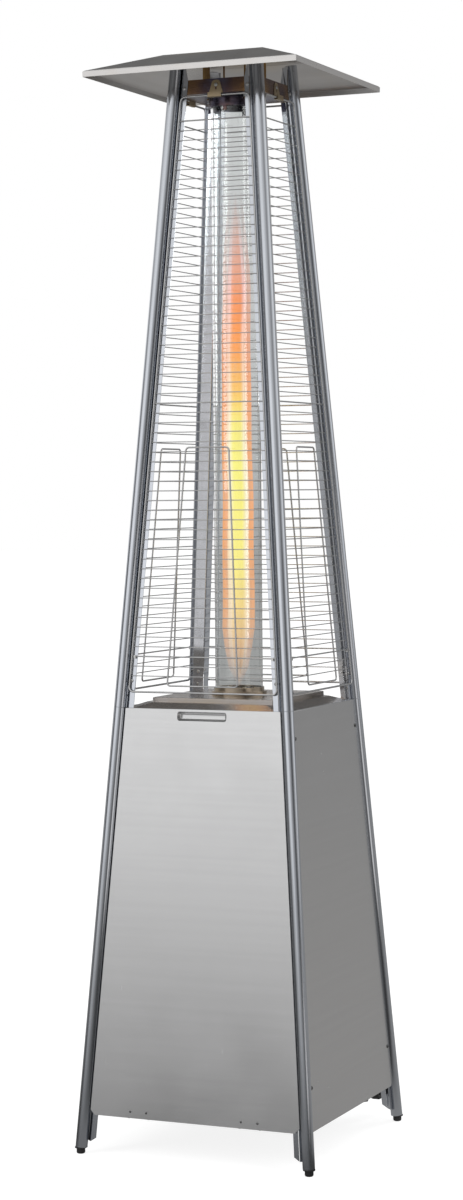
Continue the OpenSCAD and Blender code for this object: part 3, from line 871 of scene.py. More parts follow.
POLISHED = Finish(
    "polished_leg_steel", "polished_steel", (0.50, 0.52, 0.555), 1.0, 0.10, UPRIGHT_BRUSH,
    0.000002, 0.05, 0.03, cloud_gloss=0.04, scratches=0.15, dust=0.05,
)
BRUSHED = Finish(
    "brushed_panel_steel", "brushed_steel", (0.60, 0.60, 0.60), 1.0, 0.20, LEVEL_BRUSH,
    0.000003, 0.06, 0.012, scratches=0.08, dust=0.05,
)
WIRE = Finish(
    "drawn_wire", "wire_steel", (0.53, 0.53, 0.53), 1.0, 0.22, UPRIGHT_BRUSH,
    0.000003, 0.05, 0.03, dust=0.05,
)
ZINC = Finish(
    "plated_screw", "screw_steel", (0.50, 0.50, 0.49), 1.0, 0.26, FINE_TURNED, 0.00001, 0.1, 0.06
)
DULL_SCREW = Finish(
    "dull_screw", "screw_steel", (0.13, 0.13, 0.13), 1.0, 0.34, FINE_TURNED, 0.00001, 0.1, 0.06
)
DARK_SHEET = Finish(
    "dark_painted_sheet", "dark_steel", (0.045, 0.045, 0.048), 0.0, 0.42,
    grain_depth=0.00004, dust=0.25,
)
BRASS = Finish(
    "turned_brass", "brass", (0.62, 0.44, 0.17), 1.0, 0.27, (500.0,) * 3, 0.00001, 0.1, 0.1
)
MATT_PLASTIC = Finish(
    "matt_black_plastic", "black_plastic", (0.018, 0.018, 0.019), 0.0, 0.55, grain_depth=0.00008
)
SATIN_PLASTIC = Finish(
    "satin_control_plastic", "control_plastic", (0.022, 0.022, 0.024), 0.0, 0.32,
    grain_depth=0.00004,
)
RUBBER = Finish(
    "wheel_tread", "wheel_rubber", (0.022, 0.022, 0.022), 0.0, 0.72, grain_depth=0.0001, dust=0.35
)
CERAMIC = Finish(
    "glazed_ceramic", "ceramic", (0.80, 0.78, 0.72), 0.0, 0.14, grain_depth=0.00001, coat=0.4
)
FIBRE = Finish(
    "woven_fibre", "fibre_gasket", (0.72, 0.70, 0.64), 0.0, 0.95, (900.0,) * 3, 0.0004, 0.1, 0.2
)
PAN_STEEL = HeatedSteel(
    "heated_pan_steel", "heat_tinted_steel", (0.95, 0.95, 0.95), 1.0, 0.24, LEVEL_BRUSH,
    0.000005, 0.1, 0.05, near=0.088, far=0.128, near_heat=0.76, far_heat=0.46, wander=0.40,
)
CLIP_STEEL = HeatedSteel(
    "warm_clip_steel", "heat_tinted_steel", (0.62, 0.58, 0.54), 1.0, 0.3, LEVEL_BRUSH,
    0.000005, near=0.08, far=0.13, near_heat=0.22, far_heat=0.18, wander=0.12,
)
STRAP_STEEL = HeatedSteel(
    "hot_strap_steel", "heat_tinted_steel", (0.80, 0.77, 0.74), 1.0, 0.25, UPRIGHT_BRUSH,
    0.000005, near=0.06, far=0.09, near_heat=0.50, far_heat=0.38, wander=0.5,
)
REFLECTOR_STEEL = HeatedSteel(
    "dull_reflector_steel", "reflector_steel", (1.0, 0.975, 0.95), 1.0, 0.28, LEVEL_BRUSH,
    0.000006, 0.1, 0.05, dust=0.0, near=0.03, far=0.15, near_heat=0.24, far_heat=0.0, wander=0.08,
)
BURNER_STEEL = HeatedSteel(
    "toned_burner_steel", "burner_steel", (0.72, 0.68, 0.665), 1.0, 0.20, LEVEL_BRUSH,
    0.000004, 0.06, 0.04, dust=0.02, near=0.055, far=0.17, near_heat=0.14, far_heat=0.03,
    wander=0.14,
)
TUBE_GLASS = Glass(
    "clear_tube_glass", "tube_glass", (0.97, 0.985, 0.98), roughness=0.0, cloud_gloss=0.02
)
CORE_FLAME = Flame(
    "flame_core", "", NO_COLOUR, solid=1.0, glow=1.05,
    stops=(
        (0.0, (0.60, 0.38, 0.24)),
        (0.08, (0.82, 0.50, 0.26)),
        (0.16, (0.96, 0.70, 0.27)),
        (0.25, (1.0, 0.88, 0.26)),
        (0.45, (1.0, 0.92, 0.24)),
        (0.53, (1.0, 0.88, 0.22)),
        (0.60, (1.0, 0.58, 0.15)),
        (0.68, (1.0, 0.38, 0.11)),
        (0.78, (1.0, 0.30, 0.08)),
        (0.88, (0.88, 0.36, 0.22)),
        (1.0, (0.75, 0.45, 0.36)),
    ),
)
EDGE_FLAME = Flame(
    "flame_edge", "", NO_COLOUR, solid=0.9, glow=1.05, rim=(0.06, 0.24),
    stops=(
        (0.0, (0.62, 0.48, 0.40)),
        (0.12, (0.90, 0.70, 0.48)),
        (0.28, (1.0, 0.88, 0.60)),
        (0.50, (1.0, 0.92, 0.66)),
        (0.66, (1.0, 0.66, 0.48)),
        (0.80, (0.98, 0.56, 0.50)),
        (1.0, (0.78, 0.60, 0.56)),
    ),
)
HALO_FLAME = Flame(
    "flame_halo", "", NO_COLOUR, solid=0.75, rim=(0.12, 0.34),
    stops=(
        (0.0, (0.60, 0.44, 0.35)),
        (0.12, (0.86, 0.46, 0.25)),
        (0.30, (1.0, 0.44, 0.18)),
        (0.50, (1.0, 0.42, 0.16)),
        (0.70, (0.92, 0.38, 0.20)),
        (0.85, (0.72, 0.40, 0.30)),
        (1.0, (0.55, 0.45, 0.42)),
    ),
)


# ---- Wire guards ----------------------------------------------------------------------------


@dataclass
class WireGuard:
    """A guard for one face: a bent frame rod, level wires welded behind it, and a handle loop."""

    low: float = 0.9554
    high: float = 2.1814
    inset: float = 0.0195
    frame_d: float = 0.0040
    wire_d: float = 0.0020
    stout_d: float = 0.0030
    stout_wires: tuple[int, int] = (2, 28)
    loop_d: float = 0.0035
    pitch: float = 0.02007
    first: float = 0.0330
    last_gap: float = 0.029
    rod_n: float = 0.0047
    wire_n: float = 0.0022
    bend: float = 0.010
    loop_bend: float = 0.007
    loop_low: float = 0.9690
    loop_high: float = 1.4580
    loop_foot: float = 0.079
    loop_head: float = 0.048
    past: float = 0.0010

    @property
    def heights(self) -> list[float]:
        """Heights of the level wires."""
        count = int((self.high - self.last_gap - self.low - self.first) / self.pitch) + 1
        return [self.low + self.first + k * self.pitch for k in range(count)]

    def loop(
        self,
        name: str,
        ends: tuple[float, float],
        halves: tuple[float, float],
        thick: float,
        bend: float,
    ) -> Piece:
        """A closed rod outline with rounded corners.

        Args:
            name: The piece's name.
            ends: Its lowest and highest height.
            halves: Its half width at each of them.
            thick: Diameter of the rod.
            bend: Offset of its rounded corners.

        Returns:
            The bent rod.
        """
        (low, high), (foot, head) = ends, halves
        corners = ((-foot, low), (foot, low), (head, high), (-head, high))
        piece = trace(name, [SHAPE.on(u, self.rod_n, z) for u, z in corners], closed=True)
        round_points(piece, bend, 5)
        return make_tube(piece, thick / 2, 3)

    def wires(self) -> list[Piece]:
        """All level wires, each a copy of one pattern drawn out to its length."""
        pattern = rod("wire", (-1, 0, 0), (1, 0, 0), 1.0, 10)
        stout = (*self.stout_wires, len(self.heights) - 1)
        places = []
        for k, z in enumerate(self.heights):
            radius = (self.stout_d if k in stout else self.wire_d) / 2
            reach = SHAPE.half(z) - self.inset + self.past
            at = Matrix.Translation(SHAPE.on(0, self.wire_n, z))
            places.append(at @ Matrix.Diagonal((reach, radius, radius, 1)))
        return repeat(pattern, places)

    def build(self) -> None:
        """Makes one guard, and sets a copy in each face."""
        halves = (SHAPE.half(self.low) - self.inset, SHAPE.half(self.high) - self.inset)
        rim = self.loop("rim", (self.low, self.high), halves, self.frame_d, self.bend)
        ends, halves = (self.loop_low, self.loop_high), (self.loop_foot, self.loop_head)
        handle = self.loop("handle", ends, halves, self.loop_d, self.loop_bend)
        pattern = join([rim, handle, *self.wires()], "guard_pattern")
        for side, piece in zip(Side, repeat(pattern, [SHAPE.face(side) for side in Side])):
            name = side.name.lower()
            piece.name = f"wire_guard_{name}"
            deliver(piece, WIRE, stands_for=[f"guard_{name}"], angle=50)


# ---- Legs -----------------------------------------------------------------------------------


@dataclass
class Legs:
    """Four legs, each a lower and an upper tube with a folded sheet behind it."""

    tube_r: float = 0.0125
    tube_edge: float = 0.0006
    sheet: float = 0.0012
    reach: float = 0.031
    fold_r: float = 0.0020
    foot_h: float = 0.0130
    seam: float = 0.923
    overlap: float = 0.069
    lower_foot: float = 0.026
    upper_foot: float = 0.955
    head: float = 2.262
    flange_head: float = 2.259
    flange_cut: float = 0.045
    lower_n: float = 0.0012
    upper_n: float = 0.0
    lower_web: float = 0.0143
    upper_web: float = 0.0131

    def tube(self, low: float, high: float) -> Piece:
        """A leg's round tube between two heights."""
        ends = SHAPE.leg_point(low), SHAPE.leg_point(high)
        return rod("tube", *ends, self.tube_r, 48, self.tube_edge)

    def root(self, n: float, web: float) -> float:
        """Distance from the tube's axis where a flange meets the web."""
        return web * math.sqrt(2) - n

    def fold(self, n: float, web: float, low: float, high: float) -> Piece:
        """The sheet behind a tube: a flange in each face, and a web across the corner.

        Args:
            n: How far the flanges' middle lies behind the faces.
            web: Distance of the web's middle from the tube's axis.
            low: Height of its lower end.
            high: Height of its upper end.

        Returns:
            The bent sheet, still without a wall.
        """
        root = self.root(n, web)
        half = SHAPE.half(low)
        section = ((self.reach, n), (root, n), (n, root), (n, self.reach))
        piece = trace("fold", [(half - a, b - half, low) for a, b in section])
        rise = high - low
        middle = SHAPE.half((low + high) / 2)
        bends = [middle - root, middle - n]
        with editing(piece):
            every()
            pull((-SHAPE.lean * rise, SHAPE.lean * rise, rise))
            round_off(
                lambda at, way: abs(way.z) > rise / 2 and min(abs(at.x - b) for b in bends) < 1e-4,
                self.fold_r,
                4,
            )
        return piece

    def trim(
        self, piece: Piece, near: tuple[float, float], far: tuple[float, float], up: bool = False
    ) -> None:
        """Cuts both flanges along a slanting line.

        Args:
            piece: The bent sheet.
            near: Distance from the leg axis and height where the line starts.
            far: The same where it ends.
            up: Whether what lies above the line goes, or what lies below.
        """
        (a0, z0), (a1, z1) = near, far
        run = Vector((a1 - a0 + SHAPE.lean * (z1 - z0), z1 - z0))
        normal = Vector((-run.y, run.x)).normalized()
        if (normal.y > 0) != up:
            normal.negate()
        half = SHAPE.half(z0)
        at, facing = (half - a0, -half, z0), (-normal.x, 0, normal.y)
        cut_below(piece, at, facing, lambda _, way: abs(way.y) > 0.95)
        at, facing = (half, a0 - half, z0), (0, normal.x, normal.y)
        cut_below(piece, at, facing, lambda _, way: abs(way.x) > 0.95)

    def lower(self) -> Piece:
        """The front right lower leg."""
        tube = self.tube(self.foot_h, self.seam)
        foot = self.lower_foot
        folded = self.fold(self.lower_n, self.lower_web, foot, self.seam + self.overlap)
        root = self.root(self.lower_n, self.lower_web)
        self.trim(folded, (root, foot), (self.reach, foot + 0.008))
        return join([tube, thicken(folded, self.sheet)], "lower_leg_pattern")

    def upper(self) -> Piece:
        """The front right upper leg."""
        tube = self.tube(self.seam, self.head)
        foot, head = self.upper_foot, self.flange_head
        folded = self.fold(self.upper_n, self.upper_web, foot, head)
        root = self.root(self.upper_n, self.upper_web)
        corner = SHAPE.leg_point(foot + 0.012)
        cut_below(folded, corner, -UP, lambda _, way: max(abs(way.x), abs(way.y)) < 0.95)
        self.trim(folded, (root, foot + 0.009), (root + 0.004, foot))
        self.trim(folded, (self.reach - 0.003, foot), (self.reach, foot + 0.011))
        self.trim(folded, (root, head), (self.reach, head - self.flange_cut), up=True)
        return join([tube, thicken(folded, self.sheet)], "upper_leg_pattern")

    def build(self) -> None:
        """Makes one leg, and stands a copy in each corner."""
        for height, pattern in (("lower", self.lower()), ("upper", self.upper())):
            turns = [SHAPE.turn(corner.value) for corner in Corner]
            for corner, piece in zip(Corner, repeat(pattern, turns)):
                name = f"{height}_leg_{corner.name.lower()}"
                piece.name = f"{name}_tube"
                deliver(piece, POLISHED, stands_for=[name], angle=30)


# ---- Fasteners ------------------------------------------------------------------------------


@dataclass
class Screws:
    """Pan head screws with a cross recess."""

    head_r: float = 0.004
    head_h: float = 0.0019
    shank_r: float = 0.0019
    twist: float = 0.7
    short: float = 0.005
    long: float = 0.007
    joint_up: float = 0.055
    web_up: tuple[float, float] = (0.051, 0.024)
    panel_z: tuple[float, float] = (0.866, 0.169)
    pan_z: float = 2.200
    clip_z: float = 2.204
    joint_inset: float = 0.022
    edge_inset: float = 0.024
    flange_n: float = 0.0006
    panel_n: float = 0.004
    clip_n: float = 0.0004

    def screw(self, length: float) -> Piece:
        """One screw, its head's underside at the origin and its shank down the Z axis."""
        r, h, shank = self.head_r, self.head_h, self.shank_r
        profile = (
            (0.0, h),
            (r * 0.55, h * 0.97),
            (r * 0.88, h * 0.68),
            (r, h * 0.25),
            (r, 0.0),
            (shank, 0.0),
            (shank, -length + 0.001),
            (shank * 0.5, -length),
            (0.0, -length),
        )
        wide, thin = r * 0.55, r * 0.12
        body = lathe("screw", profile, 24)
        for x, y in ((wide, thin), (thin, wide)):
            cut(body, block("slot", (-x, -y, h * 0.45), (x, y, h * 2)))
        return body

    def set_in(
        self, name: str, node: str, places: Sequence[Matrix], length: float, finish: Finish
    ) -> None:
        """Sets a screw at each place, as one piece that stands for a node."""
        twisted = [
            place @ Matrix.Rotation(self.twist * k, 4, "Z") for k, place in enumerate(places)
        ]
        deliver(join(repeat(self.screw(length), twisted), name), finish, stands_for=[node])

    def both_edges(
        self, sides: Sequence[Side], heights: Sequence[float], inset: float, n: float
    ) -> list[Matrix]:
        """Places near both edges of some faces."""
        return [
            SHAPE.out(side, way * (SHAPE.half(z) - inset), n, z)
            for side in sides
            for z in heights
            for way in (-1, 1)
        ]

    def build(self, legs: Legs) -> None:
        """Sets all the screws that show."""
        sides = list(Side)
        joint_z = [legs.seam + self.joint_up]
        places = self.both_edges(sides, joint_z, self.joint_inset, self.flange_n)
        inwards = Vector((-1, 1, 0)).to_track_quat("Z", "Y").to_matrix().to_4x4()
        for corner in Corner:
            for up in self.web_up:
                at = SHAPE.leg_point(legs.seam + up, legs.lower_web + legs.sheet / 2)
                places.append(SHAPE.turn(corner.value) @ Matrix.Translation(at) @ inwards)
        self.set_in("leg_joint_screw_set", "leg_joint_screws", places, self.short, ZINC)
        places = self.both_edges(sides[1:], self.panel_z, self.edge_inset, self.panel_n)
        self.set_in("panel_screw_set", "panel_screws", places, self.long, DULL_SCREW)
        places = self.both_edges(sides, [self.pan_z], self.edge_inset, self.flange_n)
        self.set_in("pan_screw_set", "pan_screws", places, self.short, ZINC)
        places = [SHAPE.out(side, 0, self.clip_n, self.clip_z) for side in sides]
        self.set_in("clip_screw_set", "clip_screws", places, self.short, ZINC)


# ---- Door and panels ------------------------------------------------------------------------


@dataclass
class Panels:
    """Pressed sheets that close the base: the door, and a panel in each other face."""

    sheet: float = 0.0008
    proud: float = 0.004
    gap: float = 0.0145
    low: float = 0.082
    high: float = 0.922
    chamfer: float = 0.011
    fold_r: float = 0.0014
    side_back: float = 0.0038
    top_back: float = 0.0056
    slot_w: float = 0.110
    slot_h: float = 0.019
    slot_z: float = 0.9078
    slot_r: float = 0.0055
    cup_deep: float = 0.012
    cup_r: float = 0.0052
    hinge_x: float = 0.124
    hinge_half: float = 0.018
    rivet_z: float = 0.095
    control_z: float = 0.870
    control_u: float = 0.045
    button_hole_r: float = 0.012
    spindle_hole_r: float = 0.008

    def pressing(self, name: str) -> Piece:
        """A sheet with cut bottom corners, and with its sides and top folded back."""
        n = self.proud - self.sheet / 2
        cut_z = self.low + self.chamfer
        foot = SHAPE.half(self.low) - self.gap - self.chamfer
        wide = SHAPE.half(cut_z) - self.gap
        head = SHAPE.half(self.high) - self.gap
        right = ((foot, self.low), (wide, cut_z), (head, self.high))
        left = [(-u, z) for u, z in reversed(right)]
        outline = [left[2], *right, *left[:2]]
        piece = sheet(name, [SHAPE.on(u, n, z) for u, z in outline])
        level = SHAPE.rise(self.high) - 0.001
        with editing(piece):
            pick(Pick.EDGES, lambda at, way: abs(way.z) > 0.5)
            pull((0, self.side_back, 0))
            pick(Pick.EDGES, lambda at, way: at.z > level and abs(way.x) > 0.1)
            pull((0, self.top_back, 0))
            round_off(
                lambda at, way: abs(at.y + n) < SLACK and (abs(way.z) > 0.5 or at.z > level),
                self.fold_r,
                4,
            )
            face_out()
        return thicken(piece, self.sheet)

    def slot_box(self, near: float, far: float) -> tuple[Vector, Vector]:
        """Corners of the handle's slot, drawn out between two depths behind the face."""
        middle = SHAPE.rise(self.slot_z)
        w, h = self.slot_w / 2, self.slot_h / 2
        return Vector((-w, near, middle - h)), Vector((w, far, middle + h))

    def slot(self) -> Piece:
        """A block with rounded ends, for the slot in the door."""
        piece = block("slot", *self.slot_box(-self.proud - 0.004, 0.001))
        with editing(piece):
            round_off(lambda at, way: abs(way.y) > abs(way.x) + abs(way.z), self.slot_r, 6)
        return piece

    def cup(self) -> Piece:
        """The cup behind the slot: tapered walls, a rounded floor, and a small flange."""
        wall, back = self.sheet, self.sheet - self.proud
        deep = back + self.cup_deep - wall
        centre = (0, back, SHAPE.rise(self.slot_z))
        piece = block("door_handle_recess", *self.slot_box(back, deep))
        with editing(piece):
            pick(Pick.FACES, lambda at, way: way.y < -0.9)
            bpy.ops.mesh.delete(type="FACE")
            pick(Pick.FACES, lambda at, way: way.y > 0.9)
            scale((0.93, 1, 0.8), centre)
            round_off(
                lambda at, way: at.y > back + 0.0005 and abs(way.y) > 0.5 * way.length,
                self.slot_r * 0.9,
                6,
            )
            round_off(lambda at, way: at.y > deep - 1e-4 and way.length > SLACK, self.cup_r, 6)
            pick(Pick.EDGES, lambda at, way: at.y < back + 1e-4)
            bpy.ops.mesh.extrude_region_move()
            scale((1.015, 1, 1.08), centre)
        return thicken(piece, wall, 1.0)

    def door(self) -> None:
        """The door sheet with its slot, the cup behind it, and the hinge rivets."""
        front = SHAPE.face(Side.FRONT)
        pressed = cut(self.pressing("door_sheet"), self.slot())
        deliver(move(pressed, front), BRUSHED, "door", ["door_panel"])
        deliver(move(self.cup(), front), BRUSHED, "door", ["door_handle_cup"])
        dome = ((0.0, 0.0009), (0.0014, 0.0007), (0.0022, 0.0003), (0.0025, 0.0))
        shank = ((0.0018, 0.0), (0.0018, -0.0052), (0.0, -0.0052))
        places = [
            SHAPE.out(Side.FRONT, way * self.hinge_x + end, self.proud, self.rivet_z)
            for way in (-1, 1)
            for end in (-self.hinge_half, self.hinge_half)
        ]
        rivets = repeat(lathe("rivet", (*dome, *shank), 20), places)
        deliver(join(rivets, "door_rivet_heads"), DULL_SCREW, "door", ["door_rivets"])

    def panels(self) -> None:
        """The three fixed panels; the back one has holes for the controls."""
        sides = (Side.RIGHT, Side.BACK, Side.LEFT)
        pattern = self.pressing("panel_pattern")
        for side, piece in zip(sides, repeat(pattern, [Matrix.Identity(4)] * 3)):
            name = side.name.lower()
            piece.name = f"pressed_panel_{name}"
            if side is Side.BACK:
                u, deep = self.control_u, Vector((0, 0.01, 0))
                for x, radius in ((u, self.spindle_hole_r), (-u, self.button_hole_r)):
                    at = SHAPE.on(x, 0.0, self.control_z)
                    cut(piece, rod("hole", at + deep, at - deep, radius))
            move(piece, SHAPE.face(side))
            deliver(piece, BRUSHED, stands_for=[f"panel_{name}"])

    def build(self) -> None:
        """Makes the door and the panels."""
        self.door()
        self.panels()
        dress(ZINC, "door_brackets", "door_pins")
        dress(MATT_PLASTIC, "door_magnets")


# ---- Burner box and flame tube --------------------------------------------------------------


def octagon(z: float, half: float, corner: float) -> list[tuple[float, float, float]]:
    """Points of a square with cut corners.

    Args:
        z: Its height.
        half: Its half width.
        corner: The sum of x and y where each corner is cut.

    Returns:
        Eight points, anticlockwise from above.
    """
    other = corner - half
    first = ((half, -other), (half, other), (other, half), (-other, half))
    return [(x, y, z) for x, y in first] + [(-x, -y, z) for x, y in first]


def loft(name: str, rings: Sequence[Sequence[Point]]) -> Piece:
    """Sheet stretched over closed outlines, each bridged to the next in turn."""
    spans = []
    for k in range(len(rings) - 1):
        ends = [trace(f"{name}_{k}_{end}", rings[k + end], closed=True) for end in (0, 1)]
        span = join(ends, f"{name}_{k}")
        with editing(span):
            bpy.ops.mesh.select_mode(type="EDGE")
            every()
            bpy.ops.mesh.bridge_edge_loops()
        spans.append(span)
    piece = join(spans, name)
    if len(spans) > 1:
        with editing(piece):
            every()
            bpy.ops.mesh.remove_doubles(threshold=SLACK)
    return piece


def cap(piece: Piece, z: float, radius: float, folds: Test) -> None:
    """Closes a sheet's open rim at height z with one face, and rounds the chosen folds."""
    with editing(piece):
        pick(Pick.EDGES, lambda at, way: abs(at.z - z) < SLACK)
        bpy.ops.mesh.edge_face_add()
        face_out()
        round_off(folds, radius, 3)


def drill(piece: Piece, z: float, radius: float, below: float = 0.01) -> Piece:
    """Cuts a round hole about the centre line, from below height z to just above it."""
    return cut(piece, rod("hole", (0, 0, z - below), (0, 0, z + 0.01), radius, 64))


@dataclass
class BurnerBox:
    """The sloping skirt over the seam, the lid on it, the seat of the glass, and the probes."""

    skirt_foot: float = 0.9195
    skirt_head: float = 0.932
    head_half: float = 0.152
    head_cut: float = 0.024
    lip_n: float = 0.0024
    lip_h: float = 0.022
    front_lip_h: float = 0.0035
    lip_inset: float = 0.0205
    ear_u: float = 0.066
    sheet: float = 0.0012
    lid_half: float = 0.138
    lid_top: float = 0.941
    hole_r: float = 0.050
    cup_r: float = 0.044
    glass_r: float = 0.050
    fold_r: float = 0.0016

    def lip(self, side: Side, corners: Profile) -> Piece:
        """A flat lip of sheet just behind a face."""
        piece = sheet("lip", [SHAPE.on(u, -self.lip_n, z) for u, z in corners])
        return move(thicken(piece, self.sheet), SHAPE.face(side))

    def skirt(self) -> None:
        """The skirt: a flat top with a hole, four slopes, and lips inside the panels."""
        foot, head = self.skirt_foot, self.skirt_head
        half = SHAPE.half(foot) - 0.0018
        web = 2 * SHAPE.half(foot) - 0.0149 * math.sqrt(2) - 0.002
        top = octagon(head, self.head_half, 2 * self.head_half - self.head_cut)
        piece = loft("skirt", [octagon(foot, half, web), top])
        cap(piece, head, self.fold_r, lambda at, way: foot + 0.001 < at.z)
        parts = [drill(thicken(piece, self.sheet, -1.0), head, self.hole_r)]
        high = foot + 0.0004
        wide = SHAPE.half(high) - self.lip_inset
        for side in Side:
            low = high - self.front_lip_h if side is Side.FRONT else foot - self.lip_h
            narrow = SHAPE.half(low) - self.lip_inset
            corners = ((-narrow, low), (narrow, low), (wide, high), (-wide, high))
            parts.append(self.lip(side, corners))
        low, high = foot - self.lip_h, foot - 0.002
        near, far = self.ear_u, SHAPE.half(high) - self.lip_inset
        for way in (-1, 1):
            ear = ((near, low), (far, low), (far, high), (near, high))
            parts.append(self.lip(Side.FRONT, [(way * u, z) for u, z in ear]))
        deliver(join(parts, "burner_skirt"), BURNER_STEEL, stands_for=["burner_tray"])

    def lid(self) -> None:
        """The lid: a square sheet with folded sides and a hole for the burner."""
        h, top = self.lid_half, self.lid_top
        piece = loft("lid", [octagon(z, h, 2 * h - 0.004) for z in (self.skirt_head, top)])
        cap(piece, top, self.fold_r, lambda at, way: at.z > top - SLACK)
        drill(thicken(piece, self.sheet, -1.0), top, self.cup_r + 0.001, 0.02)
        piece.name = "burner_cover"
        deliver(piece, BURNER_STEEL, stands_for=["burner_lid"])

    def seat(self) -> None:
        """The ring that the glass stands in: a wide foot with a thin lip on it."""
        r, z = self.glass_r, self.lid_top
        step, high = z + 0.0075, z + 0.0160
        outside = [(r + 0.0080, z), (r + 0.0080, step), (r + 0.0030, step), (r + 0.0030, high)]
        inside = [(r + 0.0003, high), (r + 0.0003, step), (r - 0.0050, step), (r - 0.0050, z)]
        piece = lathe("glass_seat_ring", [*outside, *inside, outside[0]], 96, 0.0006)
        deliver(piece, BURNER_STEEL, stands_for=["tube_seat"])

    def probe(self, name: str, node: str, profile: Profile, bend: float, finish: Finish) -> None:
        """A slim turned piece that stands where a plain node stands."""
        low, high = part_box(node)
        piece = lathe(name, profile, 32, bend)
        middle = (low + high) / 2
        move(piece, Matrix.Translation((middle.x, middle.y, low.z)))
        deliver(piece, finish, stands_for=[node])

    def probes(self) -> None:
        """The electrode in its insulator, and the heat probe."""
        sleeve = ((0.0, 0.0), (0.003, 0.0), (0.003, 0.021), (0.0023, 0.023), (0.0019, 0.026))
        sleeve = (*sleeve, (0.0, 0.026))
        self.probe("electrode_insulator", "igniter_electrode", sleeve, 0.0004, CERAMIC)
        low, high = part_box("igniter_electrode")
        x, y, _ = (low + high) / 2
        points = ((x, y, low.z + 0.024), (x, y, high.z - 0.001), (x + 0.004, y, high.z))
        tip = trace("electrode_tip", points)
        round_points(tip, 0.0015, 3)
        deliver(make_tube(tip, 0.0008), ZINC)
        low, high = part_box("thermocouple")
        rise = high.z - low.z
        stem = ((0.0, 0.0), (0.0024, 0.0), (0.0024, rise * 0.55), (0.0017, rise * 0.6))
        stem = (*stem, (0.0017, rise - 0.002), (0.0, rise))
        self.probe("heat_probe", "thermocouple", stem, 0.0003, BRASS)

    def build(self) -> None:
        """Makes the whole box."""
        self.skirt()
        self.lid()
        self.seat()
        dress(BURNER_STEEL, "burner_cup", "burner_plate")
        dress(FIBRE, "tube_gasket")
        self.probes()


@dataclass
class FlameTube:
    """The glass tube, and the flame in it."""

    outer: float = 0.050
    wall: float = 0.0025
    core: float = 0.0156
    edge: float = 0.0240
    halo: float = 0.0350
    steps: int = 26

    def glass(self) -> None:
        """A drawn tube with fire-polished rims."""
        low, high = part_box("glass_tube")
        r, inner = self.outer, self.outer - self.wall
        ring = [(r, low.z), (r, high.z), (inner, high.z), (inner, low.z), (r, low.z)]
        piece = lathe("flame_tube_glass", ring, 128, 0.0009)
        deliver(piece, TUBE_GLASS, stands_for=["glass_tube"], angle=60)

    def shell(self, name: str, radius: float, foot: float, head: float, finish: Flame) -> None:
        """One shell of the flame: a long drop, widest low down, which wavers as it rises."""
        profile = [(0.0, foot)]
        for share in (k / self.steps for k in range(1, self.steps)):
            swell = min(1.0, share * 9) ** 0.5 * (1.0 - 0.22 * share)
            swell *= min(1.0, (1.0 - share) * 5) ** 0.6
            profile.append((radius * swell, foot + (head - foot) * share))
        profile.append((0.0, head))
        piece = lathe(name, profile, 28)
        for point in piece.data.vertices:
            z = point.co.z
            point.co.x += 0.0010 * math.sin(z * 11 + 0.6) + 0.0008 * math.sin(z * 29)
            point.co.y += 0.0010 * math.sin(z * 13 + 2.1)
        deliver(piece, finish, angle=80)

    def build(self) -> None:
        """Makes the glass and three shells of flame."""
        self.glass()
        self.shell("flame_core", self.core, 0.965, 1.98, CORE_FLAME)
        self.shell("flame_edge", self.edge, 0.960, 2.00, EDGE_FLAME)
        self.shell("flame_halo", self.halo, 0.955, 2.05, HALO_FLAME)


# ---- Top ------------------------------------------------------------------------------------


